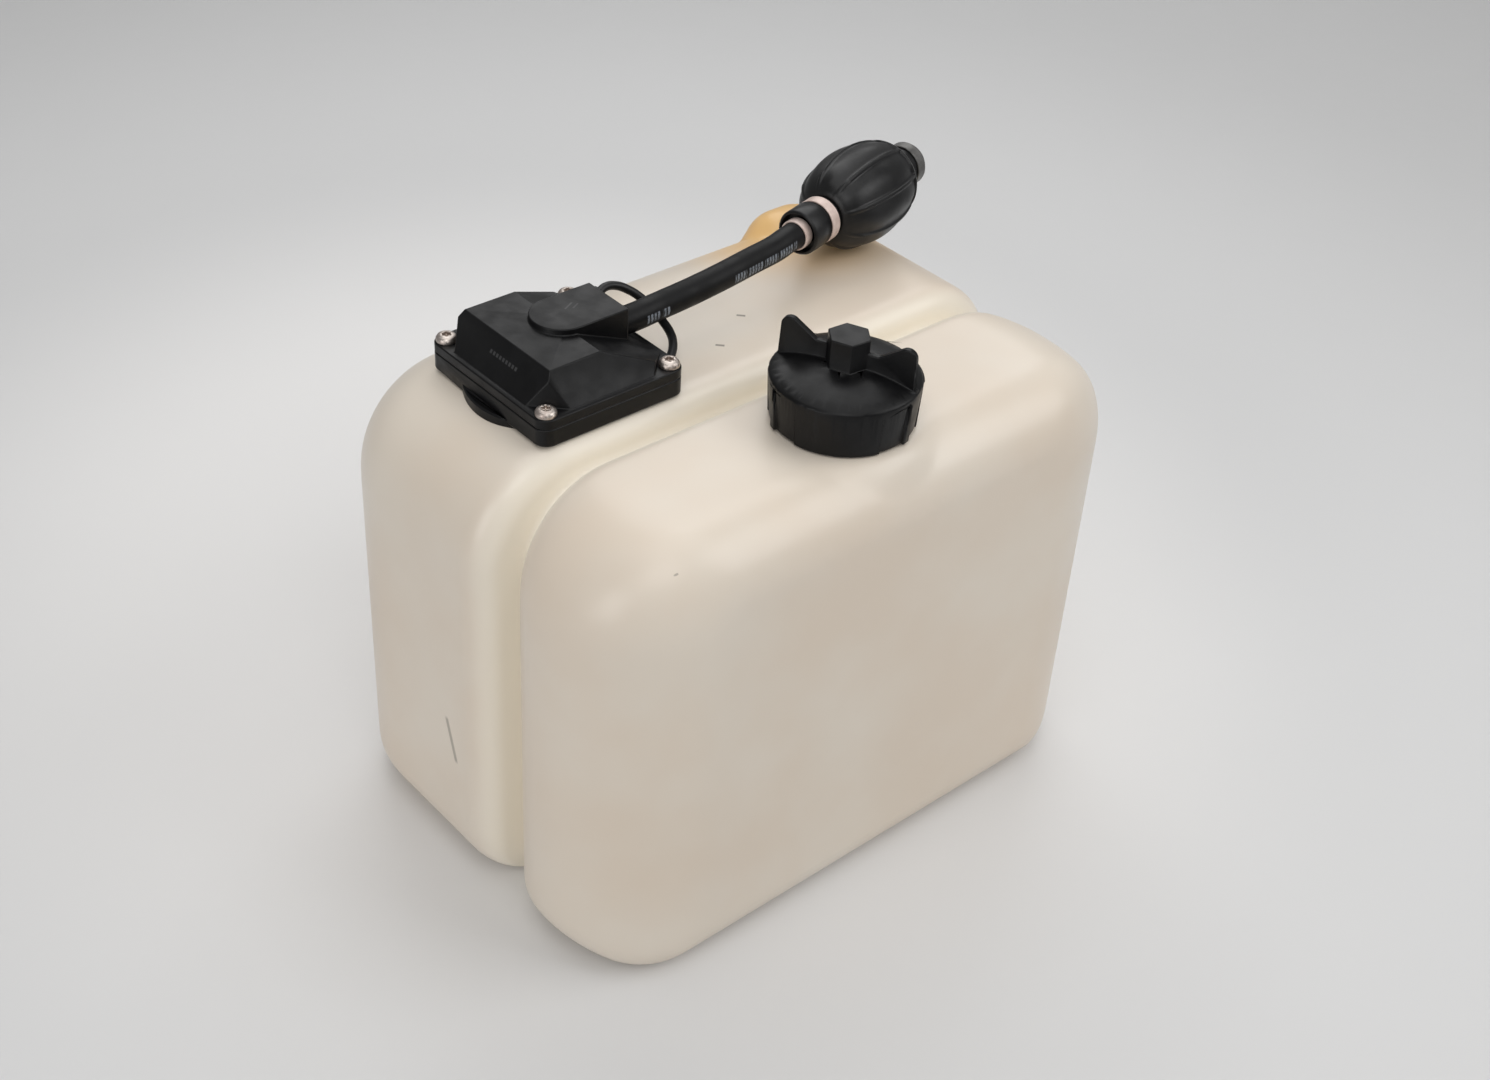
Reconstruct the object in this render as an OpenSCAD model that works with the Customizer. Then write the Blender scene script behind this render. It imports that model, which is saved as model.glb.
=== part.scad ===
// Portable outboard oil tank with a pickup cover, a screw filler cap and a hose with a primer bulb.
// Millimetres. X runs along the tank, Y across it, Z up. The origin is the middle of the tank's foot.

/* [Tank] */
// Length of the tank, end to end
tank_l = 310; // [290:1:340]
// Width of the tank, side to side
tank_w = 224; // [214:1:250]
// Height of the tank, foot to top
tank_h = 232; // [200:1:270]
// Wall of the tank moulding
tank_wall = 3.2; // [2.4:0.1:4.5]
// Radius of the upright corners
side_r = 54; // [44:1:58]
// Radius of the top edge at both ends
end_top_r = 50; // [44:1:56]
// Radius of the top edge along the filler side
near_top_r = 30; // [24:1:36]
// Radius of the top edge along the cover side
far_top_r = 50; // [40:1:54]
// Radius of the bottom edge at both ends
end_foot_r = 30; // [20:1:40]
// Radius of the bottom edge along both sides
side_foot_r = 16; // [8:0.5:24]

/* [Strap channel] */
// Distance from the filler side to the middle of the channel
channel_in = 90.5; // [86:0.5:95]
// Width of the channel's floor
channel_floor = 7; // [5:0.5:10]
// Depth of the channel in the top
channel_top_depth = 14; // [12:0.5:18]
// Depth of the channel in both ends
channel_end_depth = 24; // [18:0.5:28]
// Lip radius in the top, filler side
near_top_lip = 9; // [6:0.5:11]
// Lip radius in the top, cover side
far_top_lip = 11; // [6:0.5:11.5]
// Lip radius in the ends, filler side
near_end_lip = 32; // [29:0.5:36]
// Lip radius in the ends, cover side
far_end_lip = 14; // [8:0.5:17]

/* [Lifting ridge] */
// Radius of the moulded ridge behind the bulb
ridge_r = 20; // [14:0.5:22]
// Length of the ridge between its round ends' centres
ridge_l = 8; // [4:1:24]
// Distance from the outlet end to the ridge's far centre
ridge_end_in = 49; // [44:1:56]
// Distance from the cover side to the ridge's centre line
ridge_side_in = 30; // [26:1:36]
// Height of the ridge above the tank's top
ridge_rise = 4.5; // [2:0.5:6]

/* [Filler neck and cap] */
// Distance of the filler neck from the filler side
neck_in = 47; // [43:0.5:50]
// Shift of the filler neck along the tank
neck_x = 0; // [-20:1:40]
// Outer radius of the neck under its thread
neck_r = 26.5; // [22:0.5:27]
// Wall of the neck
neck_wall = 4; // [2.5:0.1:5]
// Height of the neck above the tank's top
neck_h = 17; // [15:0.5:22]
// Lead of the filler thread
thread_lead = 6; // [5.5:0.1:7]
// Turns of thread
thread_turns = 1.5; // [1:0.25:1.5]
// Height of the thread's ridge
thread_depth = 1.5; // [1.2:0.1:1.7]
// Outer radius of the cap at its top
cap_r = 32.8; // [32.4:0.1:36]
// How much narrower the cap is at its rim
cap_taper = 1.5; // [0.5:0.1:1.8]
// Thickness of the cap's top at its edge
cap_top_t = 4; // [3:0.1:6]
// Rise of the cap's top from its edge to its hub
cap_dome = 4.5; // [2:0.1:6]
// Gap between the cap's rim and the tank
cap_lift_gap = 1.2; // [0.8:0.1:2]
// Thickness of the cap's gasket
gasket_t = 2; // [1:0.1:3]
// Turn of the two wings about the cap's axis
wing_turn = -66; // [-180:1:180]
// Height of the wings' ears over the cap's edge
wing_h = 19.5; // [17:0.5:24]
// Thickness of the wings
wing_t = 3; // [2.4:0.1:5]
// Height of the hub over the cap's edge
hub_h = 18; // [16:0.5:22]
// Radius of the six-sided hub, over its corners
hub_r = 9.8; // [7:0.1:11]
// Number of grip bars on the cap's skirt
grip_bars = 3; // [3:1:4]

/* [Pickup cover] */
// Distance from the cover end of the tank to the cover's middle
cover_in = 75.5; // [72:0.5:90]
// Distance from the channel's middle to the cover's middle
cover_off = 52; // [51:0.5:57]
// Length of the cover along the tank
cover_l = 76; // [74:0.5:82]
// Width of the cover across the tank
cover_w = 83; // [81:0.5:85]
// Radius of the cover's corners
cover_corner = 6; // [3:0.5:9]
// Thickness of the base under the cover
base_t = 8.5; // [7:0.5:11]
// Thickness of the cover's flange
flange_t = 4.5; // [3.5:0.5:6]
// Height of the cover's plateau above its flange
dome_h = 16; // [15:0.5:19]
// Wall of the cover
cover_wall = 2.2; // [1.6:0.1:2.6]
// Distance of the screws from the cover's edges
screw_in = 5.5; // [5:0.1:6]
// Radius of the cover screws' shanks
screw_r = 2.4; // [2:0.1:2.6]
// Radius of the cover screws' heads
head_r = 4.7; // [4:0.1:5]
// Width of the hose hood
hood_w = 28; // [27:0.25:31]
// Height of the hose hood above the plateau
hood_rise = 3; // [2:0.5:5]
// Distance of the hood's open end from the cover's outlet edge
hood_in = 10.5; // [9:0.5:13]

/* [Pickup inside the tank] */
// Radius of the opening in the tank's top
port_r = 29.5; // [28.5:0.1:31]
// Outer radius of the pickup tube
tube_r = 4; // [3.6:0.1:4.4]
// Bore radius of the pickup tube
tube_bore = 2.8; // [2:0.1:3]
// Radius of the float's stem
stem_r = 4; // [3.6:0.1:4.4]
// Outer radius of the float
float_r = 13; // [10:0.5:14]
// Height of the float
float_h = 26; // [18:1:34]
// Travel of the float
float_travel = 35; // [20:1:60]
// Height of the float's lower stop above the foot
float_low = 62; // [50:1:80]
// Radius of the strainer
strainer_r = 9; // [7:0.5:10]
// Height of the strainer
strainer_h = 24; // [18:1:34]

/* [Hose and primer bulb] */
// Outer radius of the oil hose
hose_r = 6.35; // [6:0.05:6.5]
// Bore radius of the oil hose
hose_bore = 3.2; // [2.8:0.05:3.6]
// Greatest radius of the bulb between its ribs
bulb_r = 22.5; // [21:0.5:23.5]
// Half the length of the bulb's round body
bulb_half = 30; // [28:0.5:33]
// Radius of the bulb's necks
bulb_neck_r = 10; // [9.4:0.1:10.4]
// Radius of the collars at the mouths
bulb_collar_r = 11; // [10.8:0.1:12]
// Wall of the bulb
bulb_wall = 3; // [2:0.1:4]
// Number of ribs along the bulb
bulb_ribs = 8; // [4:2:12]
// Height of the ribs
rib_h = 1; // [0.4:0.1:1.2]
// Width of the ribs
rib_w = 1.8; // [1:0.1:3]
// Travel of the valve balls
ball_travel = 2.5; // [1:0.1:2.6]
// Radius of the valve balls
ball_r = 3.2; // [2.8:0.1:3.4]

/* [Fits] */
// Radial clearance of a fixed fit
fit = 0.05; // [0.02:0.01:0.1]
// Clearance between moving pieces
play = 0.4; // [0.3:0.05:0.6]

/* [Hidden] */
$fn = 64;
over = 1;

// Sides of the tank and the channel's edges
near_y = -tank_w / 2;
far_y = tank_w / 2;
channel_y = near_y + channel_in;
floor_near = channel_y - channel_floor / 2;
floor_far = channel_y + channel_floor / 2;
lip_ramp = 2;
arc_steps = 5;
lip_steps = 3;
corner_steps = 4;
corner_share = 0.6;
least_corner = 8;

// Filler neck and cap
neck_y = near_y + neck_in;
neck_bore = neck_r - neck_wall;
neck_seat_r = neck_r + 4.5;
neck_root = 8;
neck_top = tank_h + neck_h;
cap_bore = neck_r + thread_depth + play;
cap_z = tank_h + cap_lift_gap;
cap_inner_h = neck_h + gasket_t - cap_lift_gap;
cap_h = cap_inner_h + cap_top_t;
cap_edge = 1;
crown_steps = 5;
grip_turn = 42;
grip_w = 4;
grip_h = 1.5;
grip_gap = 3;
raised_h = 0.6;
raised_lip = 0.2;
raised_drop = 0.5;
raised_turn = 60;
raised_span = 68;
ear_r = 4.2;
ear_in = 1.2;
wing_dip = 7.3;
waist_share = 0.28;
hub_in = hub_r - over;
thread_crest = 1;
thread_root = 2.6;
thread_sunk = 0.6;
thread_segments = 20;
thread_z = tank_h + 6;
gasket_lap = 1;

// Pickup cover and the base under it
cover_x = -tank_l / 2 + cover_in;
cover_y = channel_y + cover_off;
half_l = cover_l / 2;
half_w = cover_w / 2;
screw_x = half_l - screw_in;
screw_y = half_w - screw_in;
base_top = tank_h + base_t;
flange_top = base_top + flange_t;
plateau = flange_top + dome_h;
hood_top = plateau + hood_rise;
dome_lip = 2.5;
dome_back = 11.5;
dome_flat = 26;
dome_side = 11;
pocket_in = head_r + 0.5;
room_lip = 11;
collar_r = half_l + 0.5;
collar_out = 3.7;
collar_shift = half_l + collar_out - collar_r;
collar_h = 4;
collar_lap = 2;
seal_t = 1.5;
seat_z = tank_h - collar_h - seal_t;
spigot_h = 8;
pad_z = seat_z - 6;
insert_r = 3.9;
insert_h = 10;
insert_sunk = 2;
insert_top = tank_h - insert_sunk;
insert_boss = 7;
boss_floor = 3;
head_h = 3.2;
head_edge = 1.4;
recess_r = 1.7;
recess_lobe = 0.5;
recess_h = 1.8;
screw_l = flange_top - insert_top + insert_h - boss_floor;

// Hood over the hose, and the hose's axis at the elbow
hood_y = cover_y;
hood_x1 = cover_x + half_l - hood_in;
hood_x0 = hood_x1 - 25.5;
hose_wall = 1.65;
hose_y = hood_y - hood_w / 2 + hose_r + hose_wall;
hose_z = flange_top + hose_r + hose_wall;
lead_r = 2;
lead_wall = 1.8;
lead_y = hood_y + hood_w / 2 - lead_wall - lead_r;
lead_z = hood_top - lead_wall - lead_r - 0.7;
lead_in_y = cover_y - half_w + 17.2;
lead_in_z = tank_h + base_t / 2;
lead_in_deep = 5.5;
grommet_r = lead_r + 0.9;
grommet_lip = 0.5;
grommet_t = 1.5;

// Pickup pieces
tube_x = cover_x + 5.5;
stem_x = cover_x - 13;
stem_y = cover_y + 6;
elbow_r = 5.4;
elbow_end = tube_x + 7;
elbow_socket = 4;
elbow_top = hose_z + elbow_r;
barb_r = hose_bore - 2 * fit;
barb_l = 13;
elbow_band_r = hose_r + 2 * fit + hose_wall / 4;
barb_bore = barb_r - 0.9;
tube_top = base_top + 3;
seal_lap = 1;
strainer_z = tank_wall + 2.5;
strainer_wall = 1.6;
strainer_floor = 2;
strainer_socket = 8;
window_w = 3;
clip_t = 1.2;
clip_r = 7;
clip_gap = 3;
groove_deep = 0.7;
stem_wall = 1.4;
stem_foot = float_low - 5;
stem_head = 2.5;
stem_head_h = 3;
float_rest = 0.3;
float_edge = 2;
float_z = float_low + clip_t + float_rest;
stop_z = float_z + float_h + float_travel + float_rest;
reed_l = 40;

// Bulb, along its own axis from its middle
bulb_x = tank_l / 2 - 42;
bulb_y = cover_y + 17;
bulb_rest = 1.5;
bulb_z = tank_h + bulb_r + rib_h + bulb_rest;
bulb_turn = 14;
body_mid = -1;
in_shoulder = bulb_half - body_mid;
out_shoulder = bulb_half + body_mid;
mouth_in = in_shoulder + 22;
mouth_out = out_shoulder + 17;
collar_l = 13;
mouth_r = bulb_collar_r - 1.6;
mouth_deep = 5;
socket_r = 6.9;
valve_r = socket_r - fit;
valve_l = 12;
chamber_r = 4.3;
valve_bore = 2.2;
seat_start = 1;
seat_deep = 2.5;
cage_t = 2;
cage_slot = 1.6;
cage_rim = 0.6;
shoulder_r = hose_r - fit;
shoulder_t = 1.5;
hose_stop = mouth_in - mouth_deep;
in_body = hose_stop - shoulder_t;
out_stop = mouth_out - mouth_deep;
out_body = out_stop - shoulder_t;
out_barb_l = 12;
out_seat = out_body - valve_l;
seat_t = 3;
seat_cone = 1.4;
seat_cone_r = valve_bore + seat_cone;
band_w = 5;
neck_band_w = 6;
band_t = 0.9;
band_ear = 1.8;
band_ear_w = 3.2;
in_band = in_shoulder + 8;
band_sunk = 2;
out_band = out_shoulder + 9;
bulb_steps = 16;
rib_sunk = 0.4;
rim_at = 22;
rim_l = 3;
rim_h = 1.2;

// Bows of the hose and of the sensor lead off the straight lines between their ends
hose_bow = [[-4.7, -1, -0.2], [-0.9, -1.9, 0], [2.9, -1.9, 0.2], [6.7, -1.3, 0.5], [8.5, -0.3, 0.2]];
lead_bow = [[4.7, 4.6, 2.9], [9.9, 7.8, 3.7], [14.5, 9, 2.8], [18.2, 8.8, 1], [20.4, 7.5, -1.4],
    [21.1, 5.1, -3.3], [19.8, 1.8, -4.4], [16, -0.6, -4], [10.6, -2, -3.1], [5.3, -1.9, -1.8]];
function bowed(start, end, bow) = [for (k = [0 : len(bow) - 1])
    let (share = (k + 1) / (len(bow) + 1)) (1 - share) * start + share * end + bow[k]];

// Inset of a rounded edge at a distance past where its round begins
function round_in(d, r) = d <= 0 ? 0 : d >= r ? r : r - sqrt(r * r - d * d);
// Inset of a channel's lip: a round, then a steep wall down to the channel's depth
function lip_in(d, r, depth) = d >= lip_reach(r, depth) ? depth
    : d < r ? min(depth, round_in(d, r))
    : r + (depth - r) * (d - r) / lip_ramp;
// How far a lip reaches before it meets the channel's floor
function lip_reach(r, depth) = r >= depth ? sqrt(r * r - (r - depth) * (r - depth)) : r + lip_ramp;

near_end_y = floor_near - lip_reach(near_end_lip, channel_end_depth);
far_end_y = floor_far + lip_reach(far_end_lip, channel_end_depth);
near_top_y = floor_near - lip_reach(near_top_lip, channel_top_depth);
far_top_y = floor_far + lip_reach(far_top_lip, channel_top_depth);

// Insets of the ends, the top and the foot at a place along the width
function end_in(y) = max(round_in(near_y + side_r - y, side_r), round_in(y - far_y + side_r, side_r),
    min(lip_in(y - near_end_y, near_end_lip, channel_end_depth),
        lip_in(far_end_y - y, far_end_lip, channel_end_depth)));
function top_in(y) = max(round_in(near_y + near_top_r - y, near_top_r),
    round_in(y - far_y + far_top_r, far_top_r),
    min(lip_in(y - near_top_y, near_top_lip, channel_top_depth),
        lip_in(far_top_y - y, far_top_lip, channel_top_depth)));
function foot_in(y) = max(round_in(near_y + side_foot_r - y, side_foot_r),
    round_in(y - far_y + side_foot_r, side_foot_r));

// Places along the width at which the tank's section is drawn, in rising order
function sorted(v) = len(v) < 2 ? v : let (p = v[floor(len(v) / 2)])
    concat(sorted([for (a = v) if (a < p - 0.3) a]), [p], sorted([for (a = v) if (a > p + 0.3) a]));
function lip_places(start, way, r, depth) = [for (i = [0 : lip_steps])
    start + way * lip_reach(r, depth) * sin(90 * i / lip_steps)];
places = sorted(concat(
    [for (i = [0 : arc_steps]) near_y + side_r * (1 - cos(90 * i / arc_steps))],
    [for (i = [0 : arc_steps]) far_y - side_r * (1 - cos(90 * i / arc_steps))],
    lip_places(near_end_y, 1, near_end_lip, channel_end_depth),
    lip_places(far_end_y, -1, far_end_lip, channel_end_depth),
    lip_places(near_top_y, 1, near_top_lip, channel_top_depth),
    lip_places(far_top_y, -1, far_top_lip, channel_top_depth)));

// One rounded section of the tank at a place along its width, drawn in by a wall
function corner(x, z, r, start) = [for (i = [0 : corner_steps])
    let (a = start - 90 * i / corner_steps) [x + r * cos(a), z + r * sin(a)]];
function section(y, wall) = let (
        e = wall + max(end_in(y - wall), end_in(y), end_in(y + wall)),
        t = wall + max(top_in(y - wall), top_in(y), top_in(y + wall)),
        b = wall + max(foot_in(y - wall), foot_in(y), foot_in(y + wall)),
        x = tank_l / 2 - e,
        top = tank_h - t,
        rt = max(least_corner, end_top_r - corner_share * e),
        rb = max(least_corner, end_foot_r - corner_share * e))
    concat(corner(x - rt, top - rt, rt, 90), corner(x - rb, b + rb, rb, 0),
        corner(rb - x, b + rb, rb, 270), corner(rt - x, top - rt, rt, 180));

// Skin over a row of rings with equally many points each, closed at both ends
function skin_faces(rings, sides) = concat(
    [[for (k = [0 : sides - 1]) k]],
    [for (j = [0 : rings - 2]) for (k = [0 : sides - 1]) for (f = [0 : 1])
        let (a = j * sides + k, b = j * sides + (k + 1) % sides)
        f == 0 ? [a, a + sides, b] : [b, a + sides, b + sides]],
    [[for (k = [sides - 1 : -1 : 0]) (rings - 1) * sides + k]]);

module tank_form(wall) {
    span = (tank_w - 2 * wall) / tank_w;
    points = [for (p = places) for (c = section(p * span, wall)) [c[0], p * span, c[1]]];
    polyhedron(points, skin_faces(len(places), 4 * (corner_steps + 1)));
}

// A round cord swept along points
function unit(v) = v / norm(v);
function heading(path, i) = unit(path[min(i + 1, len(path) - 1)] - path[max(i - 1, 0)]);
function ring(path, i, r, sides, aside) = let (t = heading(path, i), u = unit(cross(aside, t)), v = cross(t, u))
    [for (k = [0 : sides - 1]) let (a = 360 * k / sides) path[i] + r * cos(a) * u + r * sin(a) * v];

module swept(path, r, sides, aside) {
    points = [for (i = [0 : len(path) - 1]) each ring(path, i, r, sides, aside)];
    polyhedron(points, skin_faces(len(path), sides));
}

// A screw thread's ridge, as rings of four points up a helix
module thread_ridge(r_root, r_crest, z0) {
    steps = ceil(thread_turns * thread_segments);
    inside = r_crest < r_root;
    form = [[r_root, -thread_root], [r_crest, -thread_crest], [r_crest, thread_crest], [r_root, thread_root]];
    points = [for (i = [0 : steps]) for (k = [0 : 3]) let (
            a = 360 * thread_turns * i / steps,
            z = z0 + thread_lead * thread_turns * i / steps,
            c = form[inside ? k : 3 - k])
        [c[0] * cos(a), c[0] * sin(a), z + c[1] / 2]];
    polyhedron(points, skin_faces(steps + 1, 4));
}

module at_neck(z) {
    translate([neck_x, neck_y, z])
        children();
}

module at_screws(z) {
    for (sx = [-1, 1], sy = [-1, 1])
        translate([cover_x + sx * screw_x, cover_y + sy * screw_y, z])
            children();
}

module along_x(x, y, z) {
    translate([x, y, z])
        rotate([0, 90, 0])
            children();
}

module along_bulb(s = 0) {
    translate([bulb_x, bulb_y, bulb_z])
        rotate([0, 0, bulb_turn])
            rotate([0, 90, 0])
                translate([0, 0, s])
                    children();
}

function on_bulb(s) = [bulb_x + s * cos(bulb_turn), bulb_y + s * sin(bulb_turn), bulb_z];

module pipe(r_out, r_in, h) {
    difference() {
        cylinder(r = r_out, h = h);
        translate([0, 0, -over])
            cylinder(r = r_in, h = h + 2 * over);
    }
}

module ridge(wall) {
    r = ridge_r - wall;
    x = tank_l / 2 - ridge_end_in;
    y = far_y - ridge_side_in;
    z = tank_h + ridge_rise - ridge_r;
    for (end = [x - ridge_l, x])
        translate([end, y, z])
            sphere(r = r);
    along_x(x - ridge_l, y, z)
        cylinder(r = r, h = ridge_l);
}

module tank() {
    color("antiquewhite")
        difference() {
            union() {
                tank_form(0);
                ridge(0);
                at_neck(tank_h - neck_root)
                    cylinder(r = neck_seat_r, h = neck_root);
                at_neck(tank_h - neck_root)
                    cylinder(r = neck_r, h = neck_root + neck_h);
                at_neck(0)
                    thread_ridge(neck_r - thread_sunk, neck_r + thread_depth, thread_z);
            }
            difference() {
                union() {
                    tank_form(tank_wall);
                    ridge(tank_wall);
                }
                translate([cover_x - collar_shift, cover_y, pad_z])
                    cylinder(r = collar_r + tank_wall, h = tank_h - pad_z + over);
                at_screws(insert_top - insert_h - boss_floor)
                    cylinder(r = insert_boss, h = insert_h + boss_floor + 2 * over);
            }
            translate([cover_x - collar_shift, cover_y, seat_z])
                cylinder(r = collar_r + fit, h = tank_h - seat_z + over);
            translate([cover_x, cover_y, pad_z - over])
                cylinder(r = port_r, h = tank_h - pad_z + 2 * over);
            at_screws(insert_top - insert_h)
                cylinder(r = insert_r + fit, h = insert_h + 3 * over);
            at_neck(tank_h - neck_root - over)
                cylinder(r = neck_bore, h = neck_root + neck_h + 2 * over);
        }
}

module filler_cap() {
    rim_r = cap_r - cap_taper;
    crown_r = cap_r - cap_edge;
    band_top = cap_h - cap_edge;
    color([0.1, 0.1, 0.1])
        at_neck(cap_z) {
            difference() {
                union() {
                    rotate_extrude()
                        polygon(concat([[0, 0], [rim_r, 0], [cap_r, cap_h - cap_edge]],
                            [for (i = [0 : crown_steps]) let (share = i / crown_steps)
                                [crown_r + (hub_in - crown_r) * share, cap_h + cap_dome * share * (2 - share)]],
                            [[0, cap_h + cap_dome]]));
                    for (k = [0 : grip_bars - 1])
                        rotate([0, 0, grip_turn + k * 360 / grip_bars]) {
                            translate([cap_bore + thread_sunk, -grip_w / 2, 0])
                                cube([rim_r + grip_h - cap_bore - thread_sunk, grip_w, cap_h - grip_gap]);
                            rotate([0, 0, raised_turn - raised_span / 2])
                                translate([0, 0, -raised_drop])
                                    rotate_extrude(angle = raised_span)
                                        polygon([[cap_bore + thread_sunk, 0], [rim_r + raised_h, 0],
                                            [cap_r + raised_lip, band_top], [cap_bore + thread_sunk, band_top]]);
                        }
                }
                translate([0, 0, -2 * over])
                    cylinder(r = cap_bore, h = cap_inner_h + 2 * over);
            }
            translate([0, 0, -cap_z])
                thread_ridge(cap_bore + thread_sunk, neck_r + play, thread_z - thread_lead / 2);
            rotate([0, 0, wing_turn]) {
                translate([0, 0, cap_h])
                    cylinder(r = hub_r, h = hub_h, $fn = 6);
                for (side = [0, 180])
                    rotate([0, 0, side])
                        wing();
            }
        }
}

// One upright wing of the cap: a fin that stays low by the hub and rises to a broad round ear
module wing() {
    tip = cap_r - cap_edge;
    waist = hub_in + waist_share * (tip - hub_in);
    translate([0, wing_t / 2, cap_h - over / 2])
        rotate([90, 0, 0])
            linear_extrude(wing_t) {
                square([waist, wing_h - wing_dip]);
                hull() {
                    translate([tip - ear_in - ear_r, wing_h - ear_r])
                        circle(r = ear_r);
                    translate([waist - over, 0])
                        square([tip - waist + over / 2, over]);
                    translate([waist - over, 0])
                        square([over, wing_h - wing_dip]);
                }
            }
}

module cap_gasket() {
    color("dimgray")
        at_neck(neck_top)
            pipe(neck_r + fit, neck_bore + gasket_lap, gasket_t);
}

// Round-cornered plate with the cover's outline
module plate(h) {
    inner_l = half_l - cover_corner;
    inner_w = half_w - cover_corner;
    translate([cover_x, cover_y, 0]) {
        for (sx = [-1, 1], sy = [-1, 1])
            translate([sx * inner_l, sy * inner_w, 0])
                cylinder(r = cover_corner, h = h);
        translate([-half_l, -inner_w, 0])
            cube([cover_l, 2 * inner_w, h]);
        translate([-inner_l, -half_w, 0])
            cube([2 * inner_l, cover_w, h]);
    }
}

module pickup_base() {
    spigot_z = seat_z - spigot_h;
    color([0.08, 0.08, 0.08])
        difference() {
            union() {
                translate([0, 0, tank_h])
                    plate(base_t);
                translate([cover_x - collar_shift, cover_y, tank_h - collar_h])
                    cylinder(r = collar_r, h = collar_h + collar_lap);
                translate([cover_x, cover_y, spigot_z])
                    cylinder(r = port_r - play, h = spigot_h + seal_t + collar_h);
            }
            at_screws(tank_h - collar_h - over)
                cylinder(r = screw_r + play / 2, h = base_t + collar_h + 2 * over);
            at_screws(tank_h - collar_h - over)
                cylinder(r = insert_r + play, h = collar_h - insert_sunk + over + play);
            translate([tube_x, hose_y, spigot_z - over])
                cylinder(r = tube_r + fit, h = base_top - spigot_z + 2 * over);
            translate([stem_x, stem_y, spigot_z - over])
                cylinder(r = stem_r + fit, h = base_top - spigot_z + 2 * over);
            along_x(cover_x + half_l - lead_in_deep, lead_in_y, lead_in_z)
                cylinder(r = lead_r + fit, h = lead_in_deep + over);
        }
}

module base_gasket() {
    color("dimgray")
        difference() {
            translate([cover_x - collar_shift, cover_y, seat_z])
                cylinder(r = collar_r - play, h = seal_t);
            translate([cover_x, cover_y, seat_z - over])
                cylinder(r = port_r + fit, h = seal_t + 2 * over);
            at_screws(seat_z - over)
                cylinder(r = insert_r + play, h = seal_t + 2 * over);
        }
}

// Sloping dome of the cover, drawn in by a wall
module dome(wall) {
    foot_l = half_l - dome_lip - wall;
    foot_w = half_w - dome_lip - wall;
    top = dome_h - wall;
    back = -half_l + dome_back + wall;
    flat = -half_l + dome_back + dome_flat - wall / 2;
    side = half_w - dome_side - wall;
    translate([cover_x, cover_y, flange_top])
        polyhedron(
            [[-foot_l, -foot_w, 0], [foot_l, -foot_w, 0], [foot_l, foot_w, 0], [-foot_l, foot_w, 0],
             [back, -side, top], [flat, -side, top], [flat, side, top], [back, side, top]],
            [[0, 1, 2, 3], [4, 5, 1, 0], [7, 6, 5, 4], [5, 6, 2, 1], [6, 7, 3, 2], [7, 4, 0, 3]]);
}

// Round-ended hood over the hose, drawn in by a wall
module hood(wall) {
    r = hood_w / 2 - wall;
    translate([hood_x0, hood_y, flange_top]) {
        cylinder(r = r, h = hood_top - flange_top - wall);
        translate([0, -r, 0])
            cube([hood_x1 - hood_x0 - wall, 2 * r, hood_top - flange_top - wall]);
    }
}

module pickup_cover() {
    room_l = half_l - room_lip;
    room_w = half_w - room_lip;
    color([0.12, 0.12, 0.12])
        difference() {
            union() {
                translate([0, 0, base_top])
                    plate(flange_t);
                dome(0);
                hood(0);
            }
            for (sx = [-1, 1], sy = [-1, 1])
                translate([cover_x + sx * screw_x, cover_y + sy * screw_y, flange_top])
                    rotate([0, 0, atan2(sy, sx)])
                        translate([-pocket_in, -half_l, 0])
                            cube([half_l, cover_l, hood_top - flange_top + over]);
            intersection() {
                dome(cover_wall);
                translate([cover_x - room_l, cover_y - room_w, flange_top])
                    cube([2 * room_l, 2 * room_w, dome_h]);
            }
            hood(cover_wall);
            translate([cover_x - room_l, cover_y - room_w, base_top - over])
                cube([2 * room_l, 2 * room_w, flange_t + 2 * over]);
            at_screws(base_top - over)
                cylinder(r = screw_r + play / 2, h = flange_t + 2 * over);
            along_x(elbow_end, hose_y, hose_z)
                cylinder(r = hose_r + fit, h = cover_l);
            along_x(elbow_end, hose_y, hose_z)
                cylinder(r = elbow_band_r + play / 2, h = band_w + 2 * hose_wall);
            along_x(hood_x1 - cover_wall - over, lead_y, lead_z)
                cylinder(r = grommet_r + fit, h = cover_wall + 2 * over);
        }
}

module cover_screws() {
    color("silver")
        at_screws(flange_top)
            difference() {
                union() {
                    rotate_extrude()
                        polygon([[0, 0], [head_r, 0], [head_r, head_edge], [0.85 * head_r, 0.8 * head_h],
                            [0.55 * head_r, head_h], [0, head_h]]);
                    translate([0, 0, -screw_l])
                        cylinder(r = screw_r, h = screw_l + over);
                }
                translate([0, 0, head_h - recess_h])
                    linear_extrude(recess_h + over) {
                        circle(r = recess_r);
                        for (k = [0 : 5])
                            rotate(60 * k)
                                translate([recess_r, 0])
                                    circle(r = recess_lobe);
                    }
            }
}

module screw_inserts() {
    color("goldenrod")
        at_screws(insert_top - insert_h)
            pipe(insert_r, screw_r + fit, insert_h);
}

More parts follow.
